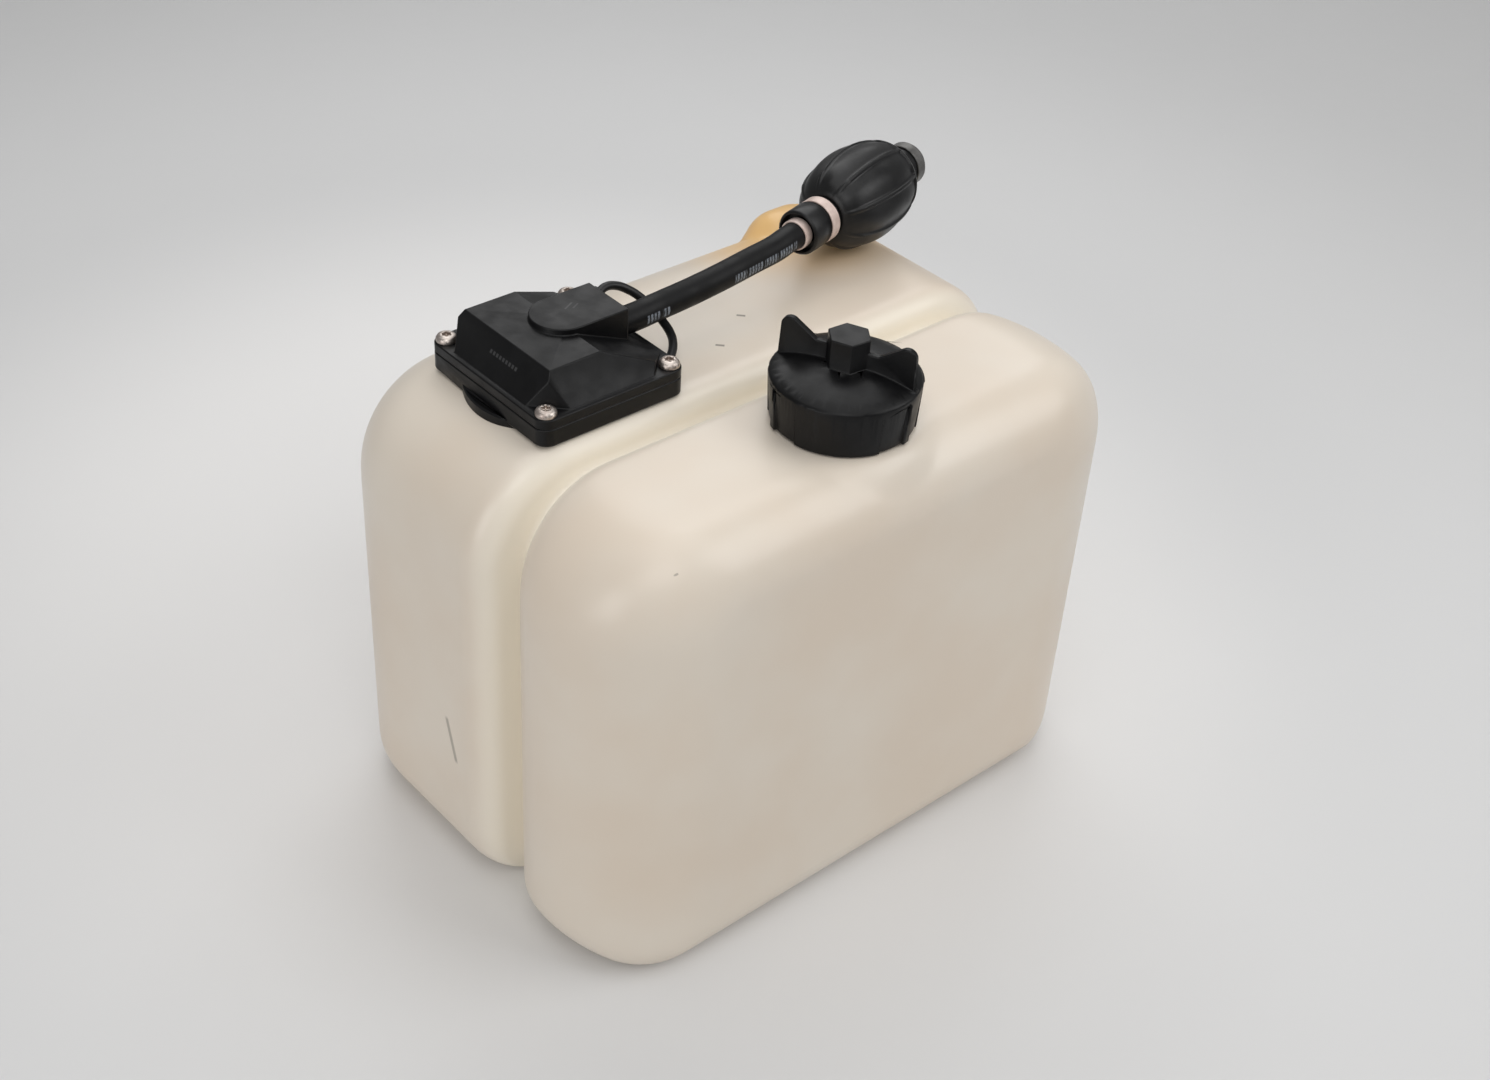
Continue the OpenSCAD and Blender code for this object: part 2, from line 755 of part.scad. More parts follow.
module outlet_elbow() {
    color([0.15, 0.15, 0.15])
        difference() {
            union() {
                translate([tube_x, hose_y, base_top])
                    cylinder(r = elbow_r, h = elbow_top - base_top);
                along_x(tube_x, hose_y, hose_z)
                    cylinder(r = elbow_r, h = elbow_end - tube_x);
                along_x(tube_x, hose_y, hose_z)
                    cylinder(r = barb_r, h = elbow_end - tube_x + barb_l);
            }
            translate([tube_x, hose_y, base_top - over])
                cylinder(r = tube_r + fit, h = over + elbow_socket);
            translate([tube_x, hose_y, base_top])
                cylinder(r = barb_bore, h = hose_z - base_top);
            translate([tube_x, hose_y, hose_z])
                sphere(r = barb_bore);
            along_x(tube_x, hose_y, hose_z)
                cylinder(r = barb_bore, h = elbow_end - tube_x + barb_l + over);
        }
}

module elbow_seal() {
    color("black")
        translate([tube_x, hose_y, tube_top])
            pipe(tube_r, tube_r - seal_lap, base_top + elbow_socket - tube_top);
}

// A crimped band with its ear, round the local Z axis
module band(r, w, ear_turn) {
    pipe(r + fit + band_t, r + fit, w);
    rotate([0, 0, ear_turn])
        translate([r + fit + band_t / 2, -band_ear_w / 2, band_t])
            cube([band_ear, band_ear_w, w - 2 * band_t]);
}

module elbow_band() {
    color("lightgray")
        along_x(elbow_end + hose_wall, hose_y, hose_z)
            pipe(elbow_band_r, hose_r + fit, band_w);
}

module pickup_tube() {
    foot = strainer_z + strainer_h - strainer_socket;
    color("gainsboro")
        translate([tube_x, hose_y, foot])
            pipe(tube_r, tube_bore, tube_top - foot);
}

module strainer() {
    color("dimgray")
        translate([tube_x, hose_y, strainer_z])
            difference() {
                cylinder(r = strainer_r, h = strainer_h);
                translate([0, 0, strainer_floor])
                    cylinder(r = strainer_r - strainer_wall, h = strainer_h - strainer_socket - strainer_floor);
                translate([0, 0, strainer_h - strainer_socket - over])
                    cylinder(r = tube_r + fit, h = strainer_socket + 2 * over);
                for (k = [0 : 3])
                    rotate([0, 0, 45 * k])
                        translate([-strainer_r - over, -window_w / 2, 2 * strainer_floor])
                            cube([2 * (strainer_r + over), window_w,
                                strainer_h - strainer_socket - 3 * strainer_floor]);
            }
}

module float_stem() {
    color("whitesmoke")
        translate([stem_x, stem_y, 0])
            difference() {
                union() {
                    translate([0, 0, stem_foot])
                        cylinder(r = stem_r, h = base_top - stem_foot);
                    translate([0, 0, base_top])
                        cylinder(r = stem_r + stem_head, h = stem_head_h);
                    translate([0, 0, stop_z])
                        cylinder(r = stem_r + stem_head, h = stem_head_h);
                }
                translate([0, 0, float_low])
                    pipe(stem_r + over, stem_r - groove_deep, clip_t);
                translate([0, 0, stem_foot + stem_wall])
                    cylinder(r = stem_r - stem_wall, h = base_top - stem_foot + stem_head_h);
            }
}

module level_float() {
    inner = float_r - float_edge;
    color("saddlebrown")
        translate([stem_x, stem_y, float_z])
            difference() {
                rotate_extrude()
                    polygon([[0, 0], [inner, 0], [float_r, float_edge], [float_r, float_h - float_edge],
                        [inner, float_h], [0, float_h]]);
                translate([0, 0, -over])
                    cylinder(r = stem_r + play, h = float_h + 2 * over);
            }
}

module stem_clip() {
    color("silver")
        translate([stem_x, stem_y, float_low + fit])
            difference() {
                pipe(clip_r, stem_r - groove_deep + fit, clip_t - 2 * fit);
                translate([0, -clip_gap / 2, -over])
                    cube([clip_r + over, clip_gap, clip_t + 2 * over]);
            }
}

module reed_switch() {
    color("seagreen")
        translate([stem_x, stem_y, stem_foot + stem_wall])
            cylinder(r = stem_r - stem_wall - fit, h = reed_l);
}

lead_out = [hood_x1 + grommet_t, lead_y, lead_z];
lead_in = [cover_x + half_l, lead_in_y, lead_in_z];
lead_path = concat(
    [[hood_x1 - cover_wall - over, lead_y, lead_z], lead_out],
    bowed(lead_out, lead_in, lead_bow),
    [lead_in, lead_in - [lead_in_deep, 0, 0]]);

module sensor_lead() {
    color("black")
        swept(lead_path, lead_r, 10, [1, -1, 0.6]);
}

module lead_grommet() {
    color([0.2, 0.2, 0.2])
        along_x(hood_x1 - cover_wall, lead_y, lead_z)
            difference() {
                union() {
                    cylinder(r = grommet_r, h = cover_wall + grommet_t);
                    translate([0, 0, cover_wall])
                        cylinder(r = grommet_r + grommet_lip, h = grommet_t);
                }
                translate([0, 0, -over])
                    cylinder(r = lead_r + fit, h = cover_wall + grommet_t + 2 * over);
            }
}

hose_out = [cover_x + half_l, hose_y, hose_z];
hose_in = on_bulb(-hose_stop - barb_l - 2 * over);
hose_path = concat(
    [[elbow_end, hose_y, hose_z], [hood_x1, hose_y, hose_z], hose_out],
    bowed(hose_out, hose_in, hose_bow),
    [hose_in, on_bulb(-hose_stop)]);

module outlet_hose() {
    color([0.06, 0.06, 0.06])
        difference() {
            swept(hose_path, hose_r, 12, [0, 0, 1]);
            along_x(elbow_end - over, hose_y, hose_z)
                cylinder(r = hose_bore, h = barb_l + 2 * over);
            along_bulb(-hose_stop - barb_l - over)
                cylinder(r = hose_bore, h = barb_l + 2 * over);
        }
}

module hose_band() {
    color("lightgray")
        along_bulb(band_sunk - mouth_in - band_w)
            band(hose_r, band_w, 60);
}

module inlet_fitting() {
    color([0.2, 0.2, 0.2])
        along_bulb()
            difference() {
                union() {
                    translate([0, 0, -hose_stop - barb_l])
                        cylinder(r = barb_r, h = barb_l + over);
                    translate([0, 0, -hose_stop])
                        cylinder(r = shoulder_r, h = shoulder_t + over);
                    translate([0, 0, -in_body])
                        cylinder(r = valve_r, h = valve_l);
                }
                translate([0, 0, -hose_stop - barb_l - over])
                    cylinder(r = valve_bore, h = barb_l + valve_l);
                translate([0, 0, seat_start - in_body])
                    cylinder(r1 = valve_bore, r2 = chamber_r, h = seat_deep);
                translate([0, 0, seat_start + seat_deep - in_body])
                    cylinder(r = chamber_r, h = valve_l);
            }
}

// Where a ball's centre lies on a conical seat, from the seat's narrow end
function seat_rise(deep, r_end) = let (slope = norm([deep, r_end - valve_bore]))
    ((ball_r + fit) * slope - valve_bore * deep) / (r_end - valve_bore);

in_ball = seat_start - in_body + seat_rise(seat_deep, chamber_r);
out_ball = out_seat + seat_t - seat_cone + seat_rise(seat_cone, seat_cone_r);
out_chamber = out_ball + ball_r + ball_travel + play / 2 - out_seat;

module inlet_ball() {
    color("white")
        along_bulb(in_ball)
            sphere(r = ball_r);
}

module inlet_cage() {
    color("dimgray")
        along_bulb(valve_l - in_body - cage_t)
            difference() {
                cylinder(r = chamber_r - fit, h = cage_t);
                for (turn = [0, 90])
                    rotate([0, 0, turn])
                        translate([cage_rim - chamber_r, -cage_slot / 2, -over])
                            cube([2 * (chamber_r - cage_rim), cage_slot, cage_t + 2 * over]);
            }
}

module inlet_band() {
    color("lightgray")
        along_bulb(-in_band)
            band(bulb_neck_r, neck_band_w, 75);
}

// Outline of the bulb's round body, from its inlet shoulder to its outlet shoulder
function body_line(r_end, r_mid, reach) = [for (i = [0 : bulb_steps]) let (a = 180 * i / bulb_steps)
    [r_end + (r_mid - r_end) * sin(a), body_mid - reach * cos(a)]];
function body_r(s) = bulb_neck_r + (bulb_r - bulb_neck_r) * sqrt(1 - pow((s - body_mid) / bulb_half, 2));

module primer_bulb() {
    rib_line = body_line(bulb_neck_r - rib_sunk, bulb_r + rib_h, bulb_half + rib_sunk);
    color([0.09, 0.09, 0.09])
        along_bulb()
            difference() {
                union() {
                    rotate_extrude()
                        polygon(concat(
                            [[0, -mouth_in], [bulb_collar_r, -mouth_in], [bulb_collar_r, collar_l - mouth_in],
                             [bulb_neck_r, collar_l - mouth_in]],
                            body_line(bulb_neck_r, bulb_r, bulb_half),
                            [[bulb_neck_r, mouth_out], [0, mouth_out]]));
                    for (k = [0 : bulb_ribs / 2 - 1])
                        rotate([0, 0, 360 / bulb_ribs * (k + 0.5)])
                            rotate([90, 0, 0])
                                translate([0, 0, -rib_w / 2])
                                    linear_extrude(rib_w)
                                        polygon(concat(rib_line, [for (i = [len(rib_line) - 1 : -1 : 0])
                                            [-rib_line[i][0], rib_line[i][1]]]));
                    translate([0, 0, rim_at])
                        cylinder(r = body_r(rim_at) + rim_h, h = rim_l);
                }
                rotate_extrude()
                    polygon(concat(
                        [[0, -in_body - over], [socket_r, -in_body - over]],
                        body_line(socket_r, bulb_r - bulb_wall, bulb_half - bulb_wall),
                        [[socket_r, out_stop], [0, out_stop]]));
                translate([0, 0, -mouth_in - over])
                    cylinder(r = mouth_r, h = mouth_deep + shoulder_t + over);
                translate([0, 0, out_body])
                    cylinder(r = mouth_r, h = mouth_out - out_body + over);
            }
}

module outlet_fitting() {
    color([0.35, 0.35, 0.36])
        along_bulb()
            difference() {
                union() {
                    translate([0, 0, out_seat])
                        cylinder(r = valve_r, h = valve_l);
                    translate([0, 0, out_body - over])
                        cylinder(r = shoulder_r, h = shoulder_t + over);
                    translate([0, 0, out_stop - over])
                        cylinder(r = barb_r, h = out_barb_l + over);
                }
                translate([0, 0, out_seat - over])
                    cylinder(r = chamber_r, h = out_chamber + over);
                translate([0, 0, out_seat])
                    cylinder(r = valve_bore, h = valve_l + shoulder_t + out_barb_l + over);
                for (turn = [0, 90])
                    rotate([0, 0, turn])
                        translate([cage_rim - chamber_r, -cage_slot / 2, out_seat + out_chamber - over])
                            cube([2 * (chamber_r - cage_rim), cage_slot, cage_slot + over]);
            }
}

module outlet_ball() {
    color("white")
        along_bulb(out_ball)
            sphere(r = ball_r);
}

module outlet_seat() {
    color("dimgray")
        along_bulb(out_seat)
            difference() {
                cylinder(r = chamber_r - fit, h = seat_t);
                translate([0, 0, -over])
                    cylinder(r = valve_bore, h = seat_t + over);
                translate([0, 0, seat_t - seat_cone])
                    cylinder(r1 = valve_bore, r2 = seat_cone_r, h = seat_cone);
            }
}

module outlet_band() {
    color("dimgray")
        along_bulb(out_band)
            band(bulb_neck_r, neck_band_w, 75);
}

tank();
filler_cap();
cap_gasket();
pickup_base();
base_gasket();
pickup_cover();
cover_screws();
screw_inserts();
outlet_elbow();
elbow_seal();
elbow_band();
pickup_tube();
strainer();
float_stem();
level_float();
stem_clip();
reed_switch();
sensor_lead();
lead_grommet();
outlet_hose();
hose_band();
inlet_fitting();
inlet_ball();
inlet_cage();
inlet_band();
primer_bulb();
outlet_fitting();
outlet_ball();
outlet_seat();
outlet_band();
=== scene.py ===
"""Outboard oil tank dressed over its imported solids: moulded tank, cap, pickup cover, hose and primer bulb."""

import logging
import math
from dataclasses import dataclass, field
from enum import Enum
from typing import Iterable, Sequence

import bmesh
import bpy
from mathutils import Matrix, Vector


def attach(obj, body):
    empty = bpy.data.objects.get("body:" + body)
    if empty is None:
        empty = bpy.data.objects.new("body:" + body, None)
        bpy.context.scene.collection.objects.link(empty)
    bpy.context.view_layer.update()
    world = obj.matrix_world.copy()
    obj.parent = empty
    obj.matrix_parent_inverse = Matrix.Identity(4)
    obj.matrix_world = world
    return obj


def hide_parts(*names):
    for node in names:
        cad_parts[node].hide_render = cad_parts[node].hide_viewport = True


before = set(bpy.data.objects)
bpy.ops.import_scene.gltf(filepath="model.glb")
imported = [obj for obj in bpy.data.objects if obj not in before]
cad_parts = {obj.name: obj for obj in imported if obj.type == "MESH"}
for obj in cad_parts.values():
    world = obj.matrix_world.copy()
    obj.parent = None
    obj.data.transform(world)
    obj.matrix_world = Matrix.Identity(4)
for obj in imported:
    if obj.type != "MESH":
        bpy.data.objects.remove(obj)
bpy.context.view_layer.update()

LOG = logging.getLogger("oil_tank")
MM = 0.001
MERGE = 1e-6
NOISE_LOW, NOISE_HIGH = 0.3, 0.7
FLAT_ANGLE = math.radians(0.5)
EDGE_ANGLE = math.radians(32)
EDGE_SEGMENTS = 2
Colour = tuple[float, float, float, float]
Point = tuple[float, float, float]


class Body(Enum):
    """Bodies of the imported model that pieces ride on."""

    TANK = "tank_body"
    SEAL = "cap_seal"
    CAP = "cap"
    FLOAT = "float"
    INLET = "inlet_valve"
    OUTLET = "outlet_valve"


class Slot(Enum):
    """Material slots of the record."""

    TANK = "natural_polyethylene"
    BLACK = "black_plastic"
    DARK = "dark_plastic"
    PALE = "pale_plastic"
    FOAM = "float_foam"
    GASKET = "black_rubber"
    HOSE = "hose_rubber"
    BULB = "bulb_rubber"
    LEAD = "lead_sheath"
    STEEL = "stainless_steel"
    BAND = "pale_band"
    DARK_BAND = "dark_band"
    BRASS = "brass"
    GLASS = "switch_glass"


def tone(red: int, green: int, blue: int) -> Colour:
    """Turn a screen colour into the linear colour that a shader takes.

    Args:
        red: Red, 0 to 255.
        green: Green, 0 to 255.
        blue: Blue, 0 to 255.

    Returns:
        The linear colour with full alpha.
    """
    parts = [v / 255 for v in (red, green, blue)]
    linear = [v / 12.92 if v <= 0.04045 else ((v + 0.055) / 1.055) ** 2.4 for v in parts]
    return (linear[0], linear[1], linear[2], 1.0)


def smooth_step(share: float) -> float:
    """Ease a share between 0 and 1."""
    share = min(1.0, max(0.0, share))
    return share * share * (3 - 2 * share)


def turn_outwards(form: bmesh.types.BMesh, axis: Point) -> None:
    """Make a turned shell's faces point away from its axis.

    Args:
        form: The shell, turned about a line through the origin.
        axis: Unit direction of that line.
    """
    line = Vector(axis)

    def arm(face: bmesh.types.BMFace) -> Vector:
        """Return the way from the axis to a face's middle."""
        middle = face.calc_center_median()
        return middle - line * middle.dot(line)

    bmesh.ops.recalc_face_normals(form, faces=form.faces)
    form.normal_update()
    outer = max(form.faces, key=lambda face: arm(face).length)
    if outer.normal.dot(arm(outer)) < 0:
        bmesh.ops.reverse_faces(form, faces=form.faces)


class Graph:
    """A material's node tree, with one call for each kind of node that the finishes use."""

    def __init__(self, name: str) -> None:
        """Start a material with a principled shader.

        Args:
            name: The material's name.
        """
        self.material = bpy.data.materials.new(name)
        self.material.use_nodes = True
        self.tree = self.material.node_tree
        self.shader = next(n for n in self.tree.nodes if n.type == "BSDF_PRINCIPLED")
        self.coords = self.tree.nodes.new("ShaderNodeTexCoord").outputs["Object"]

    def link(self, out: bpy.types.NodeSocket, into: bpy.types.NodeSocket) -> None:
        """Join two sockets."""
        self.tree.links.new(out, into)

    def put(self, value: object, into: bpy.types.NodeSocket) -> None:
        """Link a socket, or set a plain value.

        Args:
            value: A socket to link, or a value to set.
            into: The socket that takes it.
        """
        if isinstance(value, bpy.types.NodeSocket):
            self.link(value, into)
        else:
            into.default_value = value

    def set(self, **values: object) -> None:
        """Set or link the shader's sockets.

        Args:
            values: Socket names with underscores for spaces, and their values or sockets.
        """
        for name, value in values.items():
            self.put(value, self.shader.inputs[name.replace("_", " ")])

    def noise(self, scale: float, detail: float = 2.0, rough: float = 0.5,
              stretch: Point | None = None) -> bpy.types.NodeSocket:
        """Add a noise texture.

        Args:
            scale: Cells per metre.
            detail: Number of finer layers.
            rough: Share of the finer layers.
            stretch: Scale along each axis, where the noise is drawn out.

        Returns:
            The noise's value socket.
        """
        node = self.tree.nodes.new("ShaderNodeTexNoise")
        node.inputs["Scale"].default_value = scale
        node.inputs["Detail"].default_value = detail
        node.inputs["Roughness"].default_value = rough
        source = self.coords
        if stretch is not None:
            mapping = self.tree.nodes.new("ShaderNodeMapping")
            mapping.inputs["Scale"].default_value = stretch
            self.link(source, mapping.inputs["Vector"])
            source = mapping.outputs["Vector"]
        self.link(source, node.inputs["Vector"])
        return node.outputs["Fac"]

    def cells(self, scale: float) -> bpy.types.NodeSocket:
        """Add a cell texture.

        Args:
            scale: Cells per metre.

        Returns:
            The socket of the distance to the nearest cell's middle.
        """
        node = self.tree.nodes.new("ShaderNodeTexVoronoi")
        node.inputs["Scale"].default_value = scale
        self.link(self.coords, node.inputs["Vector"])
        return node.outputs["Distance"]

    def span(self, value: bpy.types.NodeSocket, low: float, high: float, to_low: float = 0.0,
             to_high: float = 1.0) -> bpy.types.NodeSocket:
        """Map a range of a value smoothly onto another.

        Args:
            value: The value's socket.
            low: Value that gives to_low.
            high: Value that gives to_high.
            to_low: Result at low.
            to_high: Result at high.

        Returns:
            The mapped value's socket.
        """
        node = self.tree.nodes.new("ShaderNodeMapRange")
        node.interpolation_type = "SMOOTHSTEP"
        for name, number in (("From Min", low), ("From Max", high), ("To Min", to_low), ("To Max", to_high)):
            node.inputs[name].default_value = number
        self.link(value, node.inputs["Value"])
        return node.outputs["Result"]

    def mottle(self, scale: float, detail: float, low: float, high: float) -> bpy.types.NodeSocket:
        """Let a value wander between two limits with a noise.

        Args:
            scale: The noise's cells per metre.
            detail: The noise's number of finer layers.
            low: Least value.
            high: Greatest value.

        Returns:
            The value's socket.
        """
        return self.span(self.noise(scale, detail), NOISE_LOW, NOISE_HIGH, low, high)

    def sum(self, kind: str, first: object, second: object = 0.0) -> bpy.types.NodeSocket:
        """Add a math node.

        Args:
            kind: Its operation.
            first: First value or socket.
            second: Second value or socket.

        Returns:
            The result's socket.
        """
        node = self.tree.nodes.new("ShaderNodeMath")
        node.operation = kind
        self.put(first, node.inputs[0])
        self.put(second, node.inputs[1])
        return node.outputs["Value"]

    def vector(self, kind: str, first: object, second: object, out: str = "Vector") -> bpy.types.NodeSocket:
        """Add a vector math node.

        Args:
            kind: Its operation.
            first: First vector or socket.
            second: Second vector or socket.
            out: Name of the result.

        Returns:
            The result's socket.
        """
        node = self.tree.nodes.new("ShaderNodeVectorMath")
        node.operation = kind
        self.put(first, node.inputs[0])
        self.put(second, node.inputs[1])
        return node.outputs[out]

    def axes(self) -> tuple[bpy.types.NodeSocket, bpy.types.NodeSocket, bpy.types.NodeSocket]:
        """Split the object's coordinates.

        Returns:
            The sockets of x, y and z.
        """
        node = self.tree.nodes.new("ShaderNodeSeparateXYZ")
        self.link(self.coords, node.inputs["Vector"])
        return node.outputs["X"], node.outputs["Y"], node.outputs["Z"]

    def blend(self, share: object, first: object, second: object) -> bpy.types.NodeSocket:
        """Mix two colours.

        Args:
            share: Share of the second colour.
            first: First colour or socket.
            second: Second colour or socket.

        Returns:
            The mixed colour's socket.
        """
        node = self.tree.nodes.new("ShaderNodeMix")
        node.data_type = "RGBA"
        self.put(share, node.inputs["Factor"])
        self.put(first, node.inputs[6])
        self.put(second, node.inputs[7])
        return node.outputs[2]

    def bump(self, height: bpy.types.NodeSocket, distance: float, strength: float = 1.0,
             under: bpy.types.NodeSocket | None = None) -> bpy.types.NodeSocket:
        """Add a bump over an earlier one and return its normal.

        Args:
            height: Height of the relief, 0 to 1.
            distance: Depth of the relief in metres.
            strength: Share of the relief that shows.
            under: Normal of the relief beneath.

        Returns:
            The normal's socket.
        """
        node = self.tree.nodes.new("ShaderNodeBump")
        node.inputs["Distance"].default_value = distance
        node.inputs["Strength"].default_value = strength
        self.link(height, node.inputs["Height"])
        if under is not None:
            self.link(under, node.inputs["Normal"])
        return node.outputs["Normal"]

    def comb(self, along: bpy.types.NodeSocket, pitch: float, share: float) -> bpy.types.NodeSocket:
        """Mask the first share of every pitch along a line."""
        return self.sum("LESS_THAN", self.sum("FRACT", self.sum("DIVIDE", along, pitch)), share)

    def stroke(self, middle: Point, along: Point, length: float, width: float) -> bpy.types.NodeSocket:
        """Mask a short stroke.

        Args:
            middle: Its middle.
            along: Its unit direction.
            length: Its whole length.
            width: Its whole width.

        Returns:
            A mask that is 1 inside the stroke.
        """
        arm = self.vector("SUBTRACT", self.coords, middle)
        reach = self.sum("ABSOLUTE", self.vector("DOT_PRODUCT", arm, along, "Value"))
        aside = self.vector("LENGTH", self.vector("CROSS_PRODUCT", arm, along), (0.0, 0.0, 0.0), "Value")
        inside = self.span(reach, length / 2, length / 2 * 0.8)
        return self.sum("MULTIPLY", inside, self.span(aside, width / 2, width / 4))


@dataclass(frozen=True)
class Scuff:
    """A short stroke on a surface: a scratch or a plain mark."""

    middle: Point
    along: Point
    length: float
    width: float
    depth: float


@dataclass(frozen=True)
class MilkyPolyethylene:
    """Natural blow-moulded polyethylene: cream, faintly translucent, satin; an amber stain on the ridge that is
    also painted glow, and a painted glow in the strap channel.
    """

    name: str = "natural_polyethylene"
    cream: Colour = tone(225, 215, 201)
    warm: Colour = tone(221, 207, 190)
    # Amber of the ridge: partly the plastic's own yellowing, partly painted glow of light through the hump.
    amber_stain_and_glow: Colour = tone(246, 200, 131)
    grime: Colour = tone(104, 96, 84)
    # Paler colour painted into the strap channel as a glow of light shining through the thin walls.
    painted_channel_glow: Colour = tone(240, 232, 217)
    channel_at: float = -21.5 * MM
    channel_half: float = 16 * MM
    amber_at: Point = (103 * MM, 84 * MM, 228 * MM)
    amber_core: float = 18 * MM
    amber_reach: float = 78 * MM
    scuffs: tuple[Scuff, ...] = (
        Scuff((-0.155, 0.009, 0.0785), (0.0, -0.28, -0.96), 0.026, 0.003, 0.55),
        Scuff((-0.0045, 0.0103, 0.232), (0.71, -0.70, 0.0), 0.0045, 0.002, 0.75),
        Scuff((0.0202, 0.0247, 0.232), (0.71, -0.70, 0.0), 0.0045, 0.002, 0.75),
        Scuff((-0.118, -0.098, 0.222), (1.0, 0.0, 0.0), 0.003, 0.0012, 0.5),
        Scuff((-0.128, -0.098, 0.187), (0.3, 0.0, 0.95), 0.0035, 0.0012, 0.45),
    )

    def material(self) -> bpy.types.Material:
        """Build the material.

        Returns:
            The material.
        """
        graph = Graph(self.name)
        cloud = graph.noise(11.0, 3.0)
        base = graph.blend(graph.span(cloud, NOISE_LOW, NOISE_HIGH), self.cream, self.warm)
        # Painted glow: the strap channel is blended towards a paler colour, standing in for light through the
        # walls lifting the channel's shade.
        across = graph.sum("ABSOLUTE", graph.sum("SUBTRACT", graph.axes()[1], self.channel_at))
        base = graph.blend(graph.span(across, self.channel_half, self.channel_half / 3), base, self.painted_channel_glow)
        # The amber blend is partly the plastic's own yellowing and partly painted glow of light shining through
        # the hump, so its tone is brighter than a stain alone.
        far = graph.vector("DISTANCE", graph.coords, self.amber_at, "Value")
        stain = graph.span(graph.sum("ADD", far, graph.span(cloud, 0.2, 0.8, -0.006, 0.006)),
                           self.amber_core, self.amber_reach, 0.95, 0.0)
        base = graph.blend(stain, base, self.amber_stain_and_glow)
        for scuff in self.scuffs:
            mask = graph.stroke(scuff.middle, scuff.along, scuff.length, scuff.width)
            base = graph.blend(graph.sum("MULTIPLY", mask, scuff.depth), base, self.grime)
        graph.set(Base_Color=base, Roughness=graph.mottle(24.0, 1.0, 0.285, 0.35), IOR=1.5, Specular_IOR_Level=0.5)
        graph.set(Normal=graph.bump(graph.noise(16.0, 1.0), 1.0 * MM, 0.4))
        return graph.material


@dataclass(frozen=True)
class GrainedPlastic:
    """Moulded plastic with a fine spark-eroded grain and paler rubbed patches."""

    name: str
    shade: Colour
    rubbed: Colour
    roughness: float = 0.5
    grain: float = 1500.0
    depth: float = 0.02 * MM
    mark: Colour = tone(74, 74, 75)
    row_at: Point = (-115.5 * MM, 27 * MM, 254 * MM)
    row_half: float = 10 * MM
    row_height: float = 1.8 * MM
    row_deep: float = 6 * MM
    row_strength: float = 0.6
    dash: float = 2.2 * MM
    dash_share: float = 0.62
    strokes: tuple[Scuff, ...] = (
        Scuff((-71.5 * MM, 33.5 * MM, 264 * MM), (0.9, 0.44, 0.0), 7 * MM, 1.0 * MM, 0.55),
        Scuff((-69.0 * MM, 31.8 * MM, 264 * MM), (0.9, 0.44, 0.0), 5 * MM, 1.0 * MM, 0.45),
    )

    def marks(self, graph: Graph) -> bpy.types.NodeSocket:
        """Mask a faint row of dashes on the cover's end slope and two strokes on its hood.

        Args:
            graph: The material's nodes.

        Returns:
            A mask of the marks.
        """
        x, y, z = graph.axes()
        aside = graph.sum("ABSOLUTE", graph.sum("SUBTRACT", y, self.row_at[1]))
        row = graph.sum("MULTIPLY", graph.sum("LESS_THAN", aside, self.row_half),
                        graph.sum("LESS_THAN", x, self.row_at[0] + self.row_deep))
        level = graph.sum("ABSOLUTE", graph.sum("SUBTRACT", z, self.row_at[2]))
        row = graph.sum("MULTIPLY", row, graph.span(level, self.row_height / 2, self.row_height / 3))
        dashes = graph.comb(y, self.dash, self.dash_share)
        mask = graph.sum("MULTIPLY", graph.sum("MULTIPLY", row, dashes), self.row_strength)
        for scuff in self.strokes:
            stroke = graph.stroke(scuff.middle, scuff.along, scuff.length, scuff.width)
            mask = graph.sum("MAXIMUM", mask, graph.sum("MULTIPLY", stroke, scuff.depth))
        return mask

    def material(self) -> bpy.types.Material:
        """Build the material.

        Returns:
            The material.
        """
        graph = Graph(self.name)
        patches = graph.span(graph.noise(55.0, 5.0, 0.6), 0.42, 0.78)
        dust = graph.span(graph.noise(900.0, 2.0), 0.62, 0.8, 0.0, 0.35)
        worn = graph.sum("MAXIMUM", graph.sum("MULTIPLY", patches, 0.6), dust)
        plain = graph.blend(worn, self.shade, self.rubbed)
        graph.set(Base_Color=graph.blend(self.marks(graph), plain, self.mark),
                  Roughness=graph.mottle(130.0, 4.0, self.roughness - 0.06, self.roughness + 0.08),
                  Specular_IOR_Level=0.24)
        relief = graph.bump(graph.noise(self.grain, 2.0, 0.6), self.depth, 0.8)
        graph.set(Normal=graph.bump(graph.cells(self.grain * 0.6), self.depth * 0.5, 0.5, relief))
        return graph.material


@dataclass(frozen=True)
class MouldedRubber:
    """Semi-matt black rubber with handling bloom."""

    name: str
    shade: Colour
    bloom: Colour
    roughness: float = 0.48

    def material(self) -> bpy.types.Material:
        """Build the material.

        Returns:
            The material.
        """
        graph = Graph(self.name)
        bloom = graph.span(graph.noise(45.0, 6.0, 0.65), 0.45, 0.75, 0.0, 0.7)
        graph.set(Base_Color=graph.blend(bloom, self.shade, self.bloom),
                  Roughness=graph.mottle(80.0, 4.0, self.roughness - 0.08, self.roughness + 0.1),
                  Specular_IOR_Level=0.4)
        graph.set(Normal=graph.bump(graph.noise(700.0, 3.0), 0.05 * MM, 0.6))
        return graph.material


